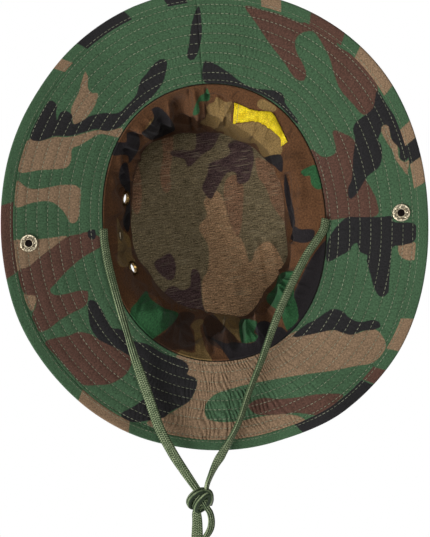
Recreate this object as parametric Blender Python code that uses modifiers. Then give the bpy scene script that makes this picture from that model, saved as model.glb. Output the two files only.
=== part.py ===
# Boonie hat: a soft crown with a sweatband, a stitched brim whose sides fold up and snap to the crown,
# and a flat chin cord with a sliding knot. Metres, +Z up, front towards -Y, standing on its rim at z = 0.

import math

import bmesh
import bpy
from mathutils import Matrix, Vector

MM = 0.001

# Driving dimensions
GAP = 0.3 * MM
SEAT_GAP = 0.45 * MM
MERGE = 0.01 * MM

# Faces round the hat and from edge to edge of each cloth, and round the turned and drilled pieces
COLUMNS = 72
BRIM_ROWS, WALL_ROWS, TOP_ROWS, BAND_ROWS, BINDING_ROWS = 2, 1, 3, 1, 5
LABEL_COLUMNS, LABEL_ROWS = 10, 2
LOOP_COLUMNS = 4
TURN_STEPS, VENT_STEPS, HOLE_SIDES = 16, 12, 20
WRAP_STEPS, WRAP_SIDES, KNOT_STEPS, KNOT_RINGS = 18, 6, 14, 8
CORD_ROUNDING = 2

SEAM_A, SEAM_B = 80 * MM, 100 * MM
RIM_A, RIM_B, RIM_CORNERS = 152 * MM, 166 * MM, 3 * MM
SEAM_Z = 16.5 * MM
FRONT_LIFT = 12 * MM
LIFT_FULL, LIFT_END = math.radians(12), math.radians(32)

PLY = 0.6 * MM
CORE = 0.8 * MM
BINDING_WIDE, BINDING_THICK = 10 * MM, 0.7 * MM
BINDING_CORNER, BINDING_GAP = 0.14 * MM, 0.6 * MM

WALL_THICK = 0.9 * MM
WALL_OUT = 1.6 * MM
WALL_TOP_Z = 110 * MM
TOP_A, TOP_B = 68 * MM, 85 * MM
TOP_RISE = 3.6 * MM
TOP_FLAT = 0.55

BAND_THICK, BAND_HIGH = 0.9 * MM, 30 * MM
BAND_LEAN, BAND_EXTRA_LEAN = 8 * MM, 9 * MM
LEAN_AT, LEAN_SPREAD = math.radians(155), math.radians(55)
LABEL_FROM, LABEL_TO = math.radians(107), math.radians(143)
LABEL_LOW, LABEL_HIGH = 0.25, 0.82
LABEL_THICK = 0.5 * MM

LOOPS = 16
LOOP_BULGE = 2.0 * MM
LOOP_BAND_LOW, LOOP_BAND_HIGH = 27 * MM, 52 * MM
LOOP_BAND_THICK = 0.9 * MM

FOLD_X = 88 * MM
STUD_X, STUD_Y = 135 * MM, -4 * MM
STUD_HOLE = 3.2 * MM
SOCKET_HOLE = 2.6 * MM
VENT_Y, VENT_Z = (25 * MM, -31 * MM), 79 * MM
VENT_HOLE = 4.9 * MM
DRILL_DEEP = 12 * MM

CORD_WIDE, CORD_THICK = 8 * MM, 2.2 * MM
CORD_STEP, TAIL_STEP = 12 * MM, 7 * MM
CURVE_STEPS = 20
KNOT_AT = Vector((27, -197.7, 5.2)) * MM
KNOT_TURN = math.radians(8)
KNOT_CORE = (7 * MM, 8.2 * MM, 4.1 * MM)
WRAP_RADIUS, WRAP_THICK, WRAP_FLAT = 6.2 * MM, 3 * MM, 0.42
WRAP_SHIFT, WRAP_LEAN = 3 * MM, math.radians(32)

# Routes of the chin cord, in millimetres, from each side seam down to the floor and forward to the knot
CORD_LEFT = [
    (81, 2, 14.2), (81, -7, 12.8), (80.2, -16, 11), (79, -25, 9.2), (76.7, -37, 7), (74, -50, 5),
    (69, -73, 2.6), (64.6, -93, 1.5), (58, -118, 1.4), (54.7, -131, 1.4), (51, -144.5, 1.4),
    (43.5, -162, 1.8), (37, -174.5, 3), (31, -185.5, 4.6), (29.4, -188.4, 4.9),
]
CORD_RIGHT = [
    (-81, -4, 14.2), (-79, -11, 13.2), (-75, -16.5, 11.9), (-65.6, -27.5, 9), (-55.8, -42, 6.2),
    (-48, -55, 4.4), (-40.8, -68, 3), (-34.5, -81, 2.2), (-26.6, -99, 1.5), (-19.5, -113.5, 1.4),
    (-14, -125, 1.4), (-9.9, -135, 1.4), (-4.8, -146, 1.4), (1.8, -156.5, 1.5), (8, -165.5, 1.9),
    (14.2, -174.5, 3), (19.4, -184.5, 4.6), (20.8, -188, 4.9),
]
TAIL_LEFT = [
    (29.8, -206.9, 4.7), (29.9, -210.4, 4.5), (30, -214, 4.4), (30.3, -217.5, 4.3), (30.6, -221, 4.3),
    (31.1, -225, 4.3), (31.6, -229, 4.3), (32.1, -233, 4.3), (32.6, -237, 4.2), (33, -240.5, 4),
    (33.3, -244, 3.6), (33.6, -247, 3), (33.8, -250, 2.3), (34, -253.5, 1.8), (34.1, -257, 1.5),
]
TAIL_RIGHT = [
    (20.6, -206.6, 4), (19.9, -209, 3), (19.6, -211.5, 2.2), (19.8, -214.8, 1.7), (20.6, -218, 1.4),
    (22.5, -221.4, 1.3), (25, -224.5, 1.3), (28, -228, 1.3), (31, -231.5, 1.3), (34.1, -235, 1.3),
    (37, -238.5, 1.3), (39.3, -242.2, 1.3), (41, -246, 1.3), (42.2, -250, 1.3), (43, -254, 1.3),
]

# Heights that follow from the brim's plies, counted up from the underside of the lower cloth
CORE_UP = PLY + GAP
UPPER_UP = CORE_UP + CORE + GAP
BRIM_TOP_UP = UPPER_UP + PLY
RIM_Z = BINDING_THICK + GAP + BINDING_CORNER
WALL_Z = SEAM_Z + BRIM_TOP_UP + GAP
WALL_A, WALL_B = SEAM_A + WALL_OUT, SEAM_B + WALL_OUT
WALL_LEAN = math.atan((WALL_A - TOP_A) / (WALL_TOP_Z - WALL_Z))
BRIM_SLOPE = math.atan((SEAM_Z - RIM_Z) / (RIM_A - SEAM_A))


def mix(start, end, share):
    return start + (end - start) * share


def ease(share):
    share = min(1, max(0, share))
    return share * share * (3 - 2 * share)


def on_oval(long_x, long_y, turn, height):
    return Vector((long_x * math.cos(turn), long_y * math.sin(turn), height))


def off_front(turn):
    return abs((turn + math.pi / 2 + math.pi) % (2 * math.pi) - math.pi)


def rim_height(turn):
    return RIM_Z + FRONT_LIFT * ease((LIFT_END - off_front(turn)) / (LIFT_END - LIFT_FULL))


def brim_under(turn, out, up=0.0):
    full = RIM_CORNERS * math.sin(2 * turn) ** 2 * out
    point = on_oval(mix(SEAM_A, RIM_A, out) + full, mix(SEAM_B, RIM_B, out) + full, turn, up)
    point.z += mix(SEAM_Z, rim_height(turn), out)
    return point


FOLD_Z = brim_under(0, (FOLD_X - SEAM_A) / (RIM_A - SEAM_A), BRIM_TOP_UP).z + GAP
FOLD_ANGLE = math.pi / 2 + WALL_LEAN + BRIM_SLOPE


def wall_oval(height):
    share = (height - WALL_Z) / (WALL_TOP_Z - WALL_Z)
    return mix(WALL_A, TOP_A, share), mix(WALL_B, TOP_B, share)


def wall_outside(turn, height, out=0.0):
    long_x, long_y = wall_oval(height)
    return on_oval(long_x + out, long_y + out, turn, height)


def band_inside(turn, share, out=0.0):
    height = SEAM_Z + SEAT_GAP + BAND_HIGH * share
    away = (turn - LEAN_AT + math.pi) % (2 * math.pi) - math.pi
    lean = BAND_LEAN + BAND_EXTRA_LEAN * math.exp(-((away / LEAN_SPREAD) ** 2))
    inset = SEAT_GAP + BAND_THICK - out + lean * share
    return on_oval(SEAM_A - inset, SEAM_B - inset, turn, height)


def clear_scene():
    for item in list(bpy.data.objects):
        bpy.data.objects.remove(item)


def collection(name):
    made = bpy.data.collections.new(name)
    bpy.context.scene.collection.children.link(made)
    return made


def material(name, colour, roughness, metallic=0.0):
    made = bpy.data.materials.new(name)
    made.use_nodes = True
    shader = made.node_tree.nodes["Principled BSDF"]
    shader.inputs["Base Color"].default_value = (*colour, 1)
    shader.inputs["Roughness"].default_value = roughness
    shader.inputs["Metallic"].default_value = metallic
    made.diffuse_color = (*colour, 1)
    return made


clear_scene()
PARTS = collection("boonie_hat")
CUTTERS = collection("cutters")

CAMO_CLOTH = material("camo_cloth", (0.06, 0.11, 0.05), 0.9)
CROWN_CLOTH = material("crown_cloth", (0.09, 0.10, 0.05), 0.9)
CORE_CLOTH = material("core_cloth", (0.20, 0.20, 0.16), 0.95)
BINDING_TAPE = material("binding_tape", (0.05, 0.10, 0.05), 0.85)
BAND_CLOTH = material("sweatband_cloth", (0.10, 0.05, 0.02), 0.85)
LABEL_TAPE = material("label_tape", (0.80, 0.62, 0.01), 0.6)
WEBBING = material("loop_webbing", (0.08, 0.11, 0.05), 0.9)
BRASS = material("vent_brass", (0.42, 0.28, 0.10), 0.35, 1.0)
SNAP_METAL = material("snap_metal", (0.40, 0.37, 0.30), 0.35, 1.0)
BRAID = material("cord_braid", (0.12, 0.16, 0.06), 0.85)


def empty(name, place, parent=None):
    made = bpy.data.objects.new(name, None)
    PARTS.objects.link(made)
    made.parent = parent
    made.location = place
    return made


HAT = empty("hat_frame", (0, 0, 0))
FOLDS = {
    1: empty("left_fold_axis", (FOLD_X, 0, FOLD_Z), HAT),
    -1: empty("right_fold_axis", (-FOLD_X, 0, FOLD_Z), HAT),
}
KNOT_FRAME = empty("knot_frame", KNOT_AT, HAT)
SIDE_NAMES = {1: "left", -1: "right"}


def part(name, data, look, parent=HAT):
    made = bpy.data.objects.new(name, data)
    PARTS.objects.link(made)
    made.data.materials.append(look)
    made.parent = parent
    return made


def smooth(mesh, angle=math.radians(40)):
    mesh.shade_smooth()
    mesh.set_sharp_from_angle(angle=angle)


def sheet_mesh(name, point, rows, columns, cuts):
    # A grid bent into a cloth sheet by point(across, up), joined where its ends meet, and then cut:
    # each cut is a plane's point and normal, and the side that the normal points to stays.
    shape = bmesh.new()
    bmesh.ops.create_grid(shape, x_segments=columns, y_segments=rows, size=0.5)
    for vert in shape.verts:
        vert.co = point(vert.co.x + 0.5, vert.co.y + 0.5)
    bmesh.ops.remove_doubles(shape, verts=shape.verts, dist=MERGE)
    for place, normal in cuts:
        whole = shape.verts[:] + shape.edges[:] + shape.faces[:]
        bmesh.ops.bisect_plane(shape, geom=whole, plane_co=place, plane_no=normal, clear_inner=True)
    mesh = bpy.data.meshes.new(name)
    shape.to_mesh(mesh)
    shape.free()
    return mesh


def cloth(name, look, point, rows, thick, columns=COLUMNS, cuts=(), parent=HAT, side=1, even=False):
    mesh = sheet_mesh(name, point, rows, columns, cuts)
    mesh.transform(Matrix.Translation(-parent.matrix_basis.translation))
    made = part(name, mesh, look, parent)
    skin = made.modifiers.new("thickness", "SOLIDIFY")
    skin.thickness = thick
    skin.offset = side
    if even:
        skin.solidify_mode = "NON_MANIFOLD"
        skin.nonmanifold_thickness_mode = "EVEN"
    smooth(mesh)
    return made


def standing(place, direction):
    # The matrix that stands a turned piece on a place, with its own +Z along a direction
    turn = direction.to_track_quat("Z", "Y").to_matrix().to_4x4()
    return Matrix.Translation(place) @ turn


def drill(target, name, matrix, radius):
    shape = bmesh.new()
    bmesh.ops.create_cone(
        shape, cap_ends=True, segments=HOLE_SIDES, radius1=radius, radius2=radius, depth=DRILL_DEEP)
    mesh = bpy.data.meshes.new(name)
    shape.to_mesh(mesh)
    shape.free()
    cutter = bpy.data.objects.new(name, mesh)
    CUTTERS.objects.link(cutter)
    cutter.matrix_world = matrix
    cutter.hide_render = True
    cutter.display_type = "WIRE"
    for piece in target:
        hole = piece.modifiers.new("hole", "BOOLEAN")
        hole.object = cutter
        hole.operation = "DIFFERENCE"


def turned(name, look, profile, matrix, parent=HAT, closed=False, steps=TURN_STEPS):
    # profile lists (radius, height) in millimetres, down the outer side
    mesh = bpy.data.meshes.new(name)
    points = [(radius * MM, 0, height * MM) for radius, height in profile]
    links = [(i, i + 1) for i in range(len(points) - 1)]
    if closed:
        links.append((len(points) - 1, 0))
    mesh.from_pydata(points, links, [])
    made = part(name, mesh, look, parent)
    made.matrix_local = parent.matrix_basis.inverted() @ matrix
    screw = made.modifiers.new("turn", "SCREW")
    screw.axis = "Z"
    screw.angle = 2 * math.pi
    screw.steps = steps
    screw.render_steps = steps
    screw.use_merge_vertices = True
    screw.merge_threshold = MERGE
    screw.use_smooth_shade = True
    return made


# Brim: three plies, each cut where the sides fold, so that the middle stays and each side is a flap
def plane_x(x, way):
    return (x, 0, 0), (way, 0, 0)


def middle_cuts(gap=GAP):
    return [plane_x(FOLD_X - gap, -1), plane_x(-FOLD_X + gap, 1)]


def side_cuts(side, gap=GAP):
    return [plane_x(side * (FOLD_X + gap), side)]


FLAP_PLIES = {1: [], -1: []}


def brim_ply(name, look, up, thick):
    reach = 1 - (BINDING_THICK + GAP) / (RIM_A - SEAM_A)

    def point(across, inward):
        return brim_under(across * 2 * math.pi, mix(reach, 0, inward), up)

    cloth(f"{name}_middle", look, point, BRIM_ROWS, thick, cuts=middle_cuts())
    for side, fold in FOLDS.items():
        flap = cloth(f"{name}_{SIDE_NAMES[side]}", look, point, BRIM_ROWS, thick,
                     cuts=side_cuts(side), parent=fold)
        FLAP_PLIES[side].append(flap)


brim_ply("brim_lower", CAMO_CLOTH, 0, PLY)
brim_ply("brim_core", CORE_CLOTH, CORE_UP, CORE)
brim_ply("brim_upper", CAMO_CLOTH, UPPER_UP, PLY)


# Binding: a tape folded round the rim, open towards the crown
def binding_point(across, up):
    turn = across * 2 * math.pi
    wide = BINDING_WIDE / (RIM_A - SEAM_A)
    edge = 1 - BINDING_THICK / (RIM_A - SEAM_A)
    steps = [
        (1 - wide, -GAP), (1 - wide / 2, -GAP), (edge, -GAP),
        (edge, BRIM_TOP_UP + GAP), (1 - wide / 2, BRIM_TOP_UP + GAP), (1 - wide, BRIM_TOP_UP + GAP),
    ]
    out, height = steps[round(up * (len(steps) - 1))]
    return brim_under(turn, out, height)


FRONT_ONLY, BACK_ONLY = ((0, 0, 0), (0, -1, 0)), ((0, 0, 0), (0, 1, 0))
for ending, half in (("front", FRONT_ONLY), ("back", BACK_ONLY)):
    cloth(f"binding_{ending}", BINDING_TAPE, binding_point, BINDING_ROWS, BINDING_THICK,
          cuts=[*middle_cuts(BINDING_GAP), half], even=True)
for side, fold in FOLDS.items():
    cloth(f"binding_{SIDE_NAMES[side]}", BINDING_TAPE, binding_point, BINDING_ROWS, BINDING_THICK,
          cuts=side_cuts(side, BINDING_GAP), parent=fold, even=True)


# Crown: two side panels and the top panel
def wall_point(across, up):
    return wall_outside(across * 2 * math.pi, mix(WALL_Z, WALL_TOP_Z, up))


WALLS = {
    side: cloth(f"crown_side_{SIDE_NAMES[side]}", CROWN_CLOTH, wall_point, WALL_ROWS, WALL_THICK, side=-1,
                cuts=[plane_x(side * GAP, side)])
    for side in SIDE_NAMES
}


def top_point(across, inward):
    share = 1 - inward
    rise = TOP_RISE * (1 - ease((share - TOP_FLAT) / (1 - TOP_FLAT)))
    return on_oval(TOP_A * share, TOP_B * share, across * 2 * math.pi, WALL_TOP_Z + GAP + rise)


cloth("crown_top", CROWN_CLOTH, top_point, TOP_ROWS, WALL_THICK)


# Sweatband, leaning in from the seam, with the label on its inner face
def band_point(across, up):
    return band_inside(across * 2 * math.pi, up)


def label_point(across, up):
    turn = mix(LABEL_FROM, LABEL_TO, across)
    return band_inside(turn, mix(LABEL_LOW, LABEL_HIGH, up), -SEAT_GAP - LABEL_THICK)


cloth("sweatband", BAND_CLOTH, band_point, BAND_ROWS, BAND_THICK)
cloth("label", LABEL_TAPE, label_point, LABEL_ROWS, LABEL_THICK, columns=LABEL_COLUMNS)


# Foliage band: webbing round the crown that stands out in loops between its rows of stitching
def loop_point(across, up):
    turn = across * 2 * math.pi
    out = SEAT_GAP + LOOP_BAND_THICK + LOOP_BULGE * abs(math.sin(turn * LOOPS / 2))
    return wall_outside(turn, mix(LOOP_BAND_LOW, LOOP_BAND_HIGH, up), out)


cloth("foliage_band", WEBBING, loop_point, 1, LOOP_BAND_THICK, columns=LOOP_COLUMNS * LOOPS, side=-1)


# Vents: a brass eyelet from outside, rolled over a washer inside
EYELET = [
    (4.0, 0.9), (4.4, 1.2), (5.6, 1.15), (6.3, 0.8), (6.3, 0.45), (4.5, 0.45),
    (4.5, -2.2), (5.5, -2.2), (5.5, -2.6), (4.4, -2.8), (4.0, -2.5),
]
WASHER = [(4.8, -1.4), (6.2, -1.4), (6.2, -1.9), (4.8, -1.9)]


def wall_place(side, along_y, height):
    long_x, long_y = wall_oval(height)
    place = Vector((side * long_x * math.sqrt(1 - (along_y / long_y) ** 2), along_y, height))
    lean_x = (WALL_A - TOP_A) / (WALL_TOP_Z - WALL_Z)
    lean_y = (WALL_B - TOP_B) / (WALL_TOP_Z - WALL_Z)
    rise = place.x**2 * lean_x / long_x**3 + place.y**2 * lean_y / long_y**3
    out = Vector((place.x / long_x**2, place.y / long_y**2, rise)).normalized()
    return place, out


for side, side_name in SIDE_NAMES.items():
    for ending, along_y in zip(("back", "front"), VENT_Y):
        vent = f"vent_{side_name}_{ending}"
        frame = standing(*wall_place(side, along_y, VENT_Z))
        drill([WALLS[side]], f"{vent}_hole", frame, VENT_HOLE)
        turned(f"{vent}_eyelet", BRASS, EYELET, frame, closed=True, steps=VENT_STEPS)
        turned(f"{vent}_washer", BRASS, WASHER, frame, closed=True, steps=VENT_STEPS)


# Brim snaps: a hollow stud through each flap, clinched in a ring below, and a socket riveted to the crown
# where the stud arrives when the flap is folded up
STUD = [
    (0, 3.7), (1.3, 3.6), (2.2, 3.1), (2.4, 2.6), (1.9, 1.9), (1.9, 1.2), (3.9, 1.0), (3.9, 0.45),
    (2.6, 0.45), (2.6, -4.1), (3.4, -4.1), (3.4, -4.5), (1.8, -4.6), (1.8, 0.3), (0, 0.3),
]
RING = [(3.1, -3.15), (6.0, -3.15), (6.3, -3.4), (5.9, -3.75), (3.9, -3.75), (3.1, -3.65)]
SOCKET = [
    (0, 1.5), (3.1, 1.5), (3.1, 3.6), (3.4, 3.9), (4.5, 3.9), (4.8, 3.6), (4.8, 1.3), (6.0, 1.1),
    (6.0, 0.45), (2.2, 0.45), (2.2, -1.4), (4.6, -1.4), (4.6, -1.9), (0, -2.1),
]
SNAP_FACE = (FOLD_X - wall_oval(FOLD_Z)[0]) * math.cos(WALL_LEAN) + GAP * math.cos(BRIM_SLOPE)

for side, side_name in SIDE_NAMES.items():
    fold = FOLDS[side]
    upright = Vector((side * math.sin(BRIM_SLOPE), 0, math.cos(BRIM_SLOPE)))
    out = (STUD_X - SEAM_A) / (RIM_A - SEAM_A)
    top = brim_under(0, out).z + BRIM_TOP_UP / math.cos(BRIM_SLOPE)
    stud_frame = standing(Vector((side * STUD_X, STUD_Y, top)), upright)
    drill(FLAP_PLIES[side], f"snap_{side_name}_brim_hole", stud_frame, STUD_HOLE)
    turned(f"snap_{side_name}_stud", SNAP_METAL, STUD, stud_frame, fold)
    turned(f"snap_{side_name}_ring", SNAP_METAL, RING, stud_frame, fold, closed=True)
    swing = Matrix.Rotation(-side * FOLD_ANGLE, 4, "Y")
    to_axis = Matrix.Translation(fold.location)
    folded = to_axis @ swing @ to_axis.inverted() @ stud_frame
    inward = folded.to_3x3() @ Vector((0, 0, 1))
    socket_frame = standing(folded.translation + inward * SNAP_FACE, -inward)
    drill([WALLS[side]], f"snap_{side_name}_crown_hole", socket_frame, SOCKET_HOLE)
    turned(f"snap_{side_name}_socket", SNAP_METAL, SOCKET, socket_frame)


# Chin cord: flat braid laid along smooth curves through the routes
def smooth_route(points, step):
    places = [Vector(point) * MM for point in points]
    ends = [2 * places[0] - places[1], *places, 2 * places[-1] - places[-2]]
    fine = []
    for before, start, end, after in zip(ends, ends[1:], ends[2:], ends[3:]):
        for i in range(CURVE_STEPS):
            t = i / CURVE_STEPS
            fine.append(0.5 * (2 * start + (end - before) * t
                               + (2 * before - 5 * start + 4 * end - after) * t**2
                               + (3 * start - before - 3 * end + after) * t**3))
    fine.append(places[-1])
    length = sum((b - a).length for a, b in zip(fine, fine[1:]))
    count = max(4, round(length / step))
    route, gone, target = [fine[0]], 0.0, length / count
    for a, b in zip(fine, fine[1:]):
        gone += (b - a).length
        if gone >= target * len(route) and len(route) < count:
            route.append(b)
    route.append(fine[-1])
    print(f"cord of {length / MM:.0f} mm, {len(route)} points")
    return route


def cord(name, points, parent=HAT, step=CORD_STEP):
    line = bpy.data.curves.new(name, "CURVE")
    line.dimensions = "3D"
    line.twist_mode = "Z_UP"
    line.extrude = (CORD_WIDE - CORD_THICK) / 2
    line.bevel_depth = CORD_THICK / 2
    line.bevel_resolution = CORD_ROUNDING
    line.use_fill_caps = True
    route = smooth_route(points, step)
    spline = line.splines.new("POLY")
    spline.points.add(len(route) - 1)
    for spot, place in zip(spline.points, route):
        spot.co = (*(place - parent.matrix_basis.translation), 1)
        spot.tilt = math.pi / 2
    return part(name, line, BRAID, parent)


cord("cord_left", CORD_LEFT)
cord("cord_right", CORD_RIGHT)
cord("cord_tail_left", TAIL_LEFT, KNOT_FRAME, step=TAIL_STEP)
cord("cord_tail_right", TAIL_RIGHT, KNOT_FRAME, step=TAIL_STEP)


# Knot: two wraps of the braid drawn tight round a core
def knot():
    pieces = []
    for shift in (-WRAP_SHIFT, WRAP_SHIFT):
        bpy.ops.mesh.primitive_torus_add(
            major_radius=WRAP_RADIUS, minor_radius=WRAP_THICK,
            major_segments=WRAP_STEPS, minor_segments=WRAP_SIDES)
        wrap = bpy.context.object
        flatten = Matrix.Diagonal((1, WRAP_FLAT, 1, 1))
        stand = Matrix.Rotation(math.pi / 2, 4, "X")
        lean = Matrix.Rotation(-WRAP_LEAN, 4, "Z")
        wrap.data.transform(Matrix.Translation((0, shift, 0)) @ lean @ stand @ flatten)
        pieces.append(wrap)
    bpy.ops.mesh.primitive_uv_sphere_add(radius=1, segments=KNOT_STEPS, ring_count=KNOT_RINGS)
    core = bpy.context.object
    core.data.transform(Matrix.Diagonal((*KNOT_CORE, 1)))
    shape = core.data.copy()
    made = part("chin_knot", shape, BRAID, KNOT_FRAME)
    made.rotation_euler.z = KNOT_TURN
    for wrap in pieces:
        cutter = bpy.data.objects.new("knot_wrap", wrap.data)
        CUTTERS.objects.link(cutter)
        cutter.parent = KNOT_FRAME
        cutter.rotation_euler.z = KNOT_TURN
        cutter.hide_render = True
        cutter.display_type = "WIRE"
        join = made.modifiers.new("wrap", "BOOLEAN")
        join.operation = "UNION"
        join.object = cutter
        bpy.data.objects.remove(wrap)
    bpy.data.objects.remove(core)
    smooth(shape)


knot()

print(f"fold axis at x {FOLD_X / MM:.1f} z {FOLD_Z / MM:.2f} mm")
print(f"flaps fold up {math.degrees(FOLD_ANGLE):.1f} degrees")
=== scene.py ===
# Boonie hat in a woodland print, seen from straight below: cloth, thread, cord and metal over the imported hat.
# Shapes are worked out in millimetres and turned into metres when a mesh is made.

import itertools
import math

import bmesh
import bpy
import numpy as np
from mathutils import Matrix, Vector


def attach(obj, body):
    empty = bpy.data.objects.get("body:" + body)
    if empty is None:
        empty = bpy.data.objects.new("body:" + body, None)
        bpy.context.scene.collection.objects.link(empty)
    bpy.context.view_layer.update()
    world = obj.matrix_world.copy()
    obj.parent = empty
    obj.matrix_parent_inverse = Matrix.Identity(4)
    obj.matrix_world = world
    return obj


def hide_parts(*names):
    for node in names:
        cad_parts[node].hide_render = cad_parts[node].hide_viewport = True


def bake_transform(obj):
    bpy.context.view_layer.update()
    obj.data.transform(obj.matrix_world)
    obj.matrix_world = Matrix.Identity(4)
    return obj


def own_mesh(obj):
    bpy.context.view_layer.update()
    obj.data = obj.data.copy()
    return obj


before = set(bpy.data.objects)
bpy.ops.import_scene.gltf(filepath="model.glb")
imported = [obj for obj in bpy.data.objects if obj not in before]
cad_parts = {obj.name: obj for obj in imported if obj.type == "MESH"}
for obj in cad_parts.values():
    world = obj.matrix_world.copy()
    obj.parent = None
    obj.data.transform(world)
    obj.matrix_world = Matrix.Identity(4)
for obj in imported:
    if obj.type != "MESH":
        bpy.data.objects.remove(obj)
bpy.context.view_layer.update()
mm = 0.001
fullTurn = 2 * math.pi
print("frame loaded,", len(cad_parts), "solids")


# The photograph: where its camera stands and how its pixels lie on the hat
photo = {
    "width": 430,
    "height": 537,
    "hatCentre": (214.5, 222.5),  # the pixel of the middle of the hat
    "pixelsPerMm": 1.4,  # at the rim
    "distance": 700,  # mm from the rim down to the camera
    "roll": math.radians(4.7),  # the hat's turn in the picture
    "sensor": 36,
}


def toPhoto(points):
    scale = photo["pixelsPerMm"] * photo["distance"] / (photo["distance"] + points[:, 2])
    right, up = -points[:, 0] * scale, points[:, 1] * scale
    c, s = math.cos(photo["roll"]), math.sin(photo["roll"])
    return np.stack([photo["hatCentre"][0] + right * c - up * s,
                     photo["hatCentre"][1] - right * s - up * c], axis=1)


def fromPhoto(pixels, height):
    pixels = np.asarray(pixels, float)
    scale = photo["pixelsPerMm"] * photo["distance"] / (photo["distance"] + height)
    u, v = pixels[:, 0] - photo["hatCentre"][0], photo["hatCentre"][1] - pixels[:, 1]
    c, s = math.cos(photo["roll"]), math.sin(photo["roll"])
    return np.stack([-(u * c + v * s) / scale, (v * c - u * s) / scale], axis=1)


def makeCamera():
    lens = bpy.data.cameras.new("photoCamera")
    lens.sensor_width = photo["sensor"]
    lens.lens = photo["pixelsPerMm"] * photo["distance"] * photo["sensor"] / photo["height"]
    lens.shift_x = (photo["width"] / 2 - photo["hatCentre"][0]) / photo["height"]
    lens.shift_y = (photo["hatCentre"][1] - photo["height"] / 2) / photo["height"]
    lens.clip_start = 0.01
    camera = bpy.data.objects.new("photoCamera", lens)
    bpy.context.scene.collection.objects.link(camera)
    lookUp = Matrix.Rotation(math.pi, 4, "Y") @ Matrix.Rotation(-photo["roll"], 4, "Z")
    camera.matrix_world = Matrix.Translation((0, 0, -photo["distance"] * mm)) @ lookUp
    bpy.context.scene.camera = camera


makeCamera()
bpy.context.scene.view_settings.view_transform = "Standard"
print("camera placed")


# Small helpers for shapes
def mix(start, end, share):
    return start + (end - start) * share


def ease(share):
    share = np.clip(share, 0, 1)
    return share * share * (3 - 2 * share)


def turnFrom(turn, centre):
    return (turn - centre + math.pi) % fullTurn - math.pi


def bumps(turn, humps):
    # humps lists (degrees, amount, spread in degrees)
    total = np.zeros_like(turn)
    for centre, amount, spread in humps:
        away = turnFrom(turn, math.radians(centre)) / math.radians(spread)
        total = total + amount * np.exp(-(away**2))
    return total


def turnCurve(turn, knots, softness=5.0):
    # a smooth closed curve near (degrees, value) knots
    fine = np.arange(0, 360, 1.0)
    values = np.interp(fine, *zip(*knots), period=360)
    away = (fine + 180) % 360 - 180
    weights = np.exp(-((away / softness) ** 2))
    smooth = np.real(np.fft.ifft(np.fft.fft(values) * np.fft.fft(weights / weights.sum())))
    return np.interp(np.degrees(turn) % 360, fine, smooth, period=360)


def clothNoise(points, size, seed=0):
    # smooth noise from -1 to 1, with blobs about as large as size
    place = np.asarray(points, float) / size + seed * 17.31
    cell = np.floor(place).astype(np.int64)
    share = place - cell
    soft = share**3 * (share * (share * 6 - 15) + 10)
    total = np.zeros(len(place))
    for corner in itertools.product((0, 1), repeat=3):
        at = cell + np.array(corner)
        mixed = (at[:, 0] * 73856093) ^ (at[:, 1] * 19349663) ^ (at[:, 2] * 83492791)
        mixed = (mixed ^ (mixed >> 13)) * 1274126177
        value = ((mixed ^ (mixed >> 16)) & 0xFFFF) / 32767.5 - 1
        total += value * np.prod(np.where(np.array(corner) == 1, soft, 1 - soft), axis=1)
    return total


def gridFaces(rows, columns, wrap=False, start=0, flip=False):
    index = start + np.arange(rows * columns).reshape(rows, columns)
    if wrap:
        index = np.hstack([index, index[:, :1]])
    faces = np.stack([index[:-1, :-1], index[:-1, 1:], index[1:, 1:], index[1:, :-1]], axis=-1).reshape(-1, 4)
    return faces[:, ::-1] if flip else faces


def shellFaces(rows, columns, wrap=False):
    # two layers of a grid, joined along their edges
    count = rows * columns
    front = np.arange(count).reshape(rows, columns)
    if wrap:
        front = np.hstack([front, front[:, :1]])
    back = front + count
    rims = [(front[0], back[0]), (back[-1], front[-1])]
    if not wrap:
        rims += [(back[:, 0], front[:, 0]), (front[:, -1], back[:, -1])]
    strips = [np.stack([a[:-1], b[:-1], b[1:], a[1:]], axis=-1) for a, b in rims]
    return np.concatenate([gridFaces(rows, columns, wrap), gridFaces(rows, columns, wrap, count, True), *strips])


def makePiece(name, points, faces, material, values=None, flatAngle=None):
    mesh = bpy.data.meshes.new(name)
    mesh.from_pydata((np.asarray(points, float) * mm).tolist(), [], [tuple(face) for face in np.asarray(faces).tolist()]
                     if isinstance(faces, np.ndarray) else faces)
    for key, value in (values or {}).items():
        value = np.asarray(value, np.float32)
        if value.ndim == 1:
            mesh.attributes.new(key, "FLOAT", "POINT").data.foreach_set("value", value)
        else:
            mesh.attributes.new(key, "FLOAT_VECTOR", "POINT").data.foreach_set("vector", value.ravel())
    shape = bmesh.new()
    shape.from_mesh(mesh)
    bmesh.ops.remove_doubles(shape, verts=shape.verts, dist=1e-7)
    bmesh.ops.recalc_face_normals(shape, faces=shape.faces)
    shape.to_mesh(mesh)
    shape.free()
    mesh.shade_smooth()
    if flatAngle:
        mesh.set_sharp_from_angle(angle=math.radians(flatAngle))
    mesh.materials.append(material)
    piece = bpy.data.objects.new(name, mesh)
    bpy.context.scene.collection.objects.link(piece)
    return piece


# Small helpers for materials
def srgb(red, green, blue):
    linear = [(c / 255 / 12.92 if c <= 10 else ((c / 255 + 0.055) / 1.055) ** 2.4) for c in (red, green, blue)]
    return (*linear, 1)


def addNode(tree, kind, inputs=None, **settings):
    node = tree.nodes.new(kind)
    for key, value in settings.items():
        setattr(node, key, value)
    for key, value in (inputs or {}).items():
        if isinstance(value, bpy.types.NodeSocket):
            tree.links.new(value, node.inputs[key])
        else:
            node.inputs[key].default_value = value
    return node


def calc(tree, operation, first, second=0.0, third=0.0):
    node = addNode(tree, "ShaderNodeMath", {0: first, 1: second, 2: third}, operation=operation)
    return node.outputs[0]


def ramp(tree, value, low, high):
    node = addNode(tree, "ShaderNodeMapRange", {"Value": value, "From Min": low, "From Max": high},
                   interpolation_type="SMOOTHSTEP")
    return node.outputs[0]


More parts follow.
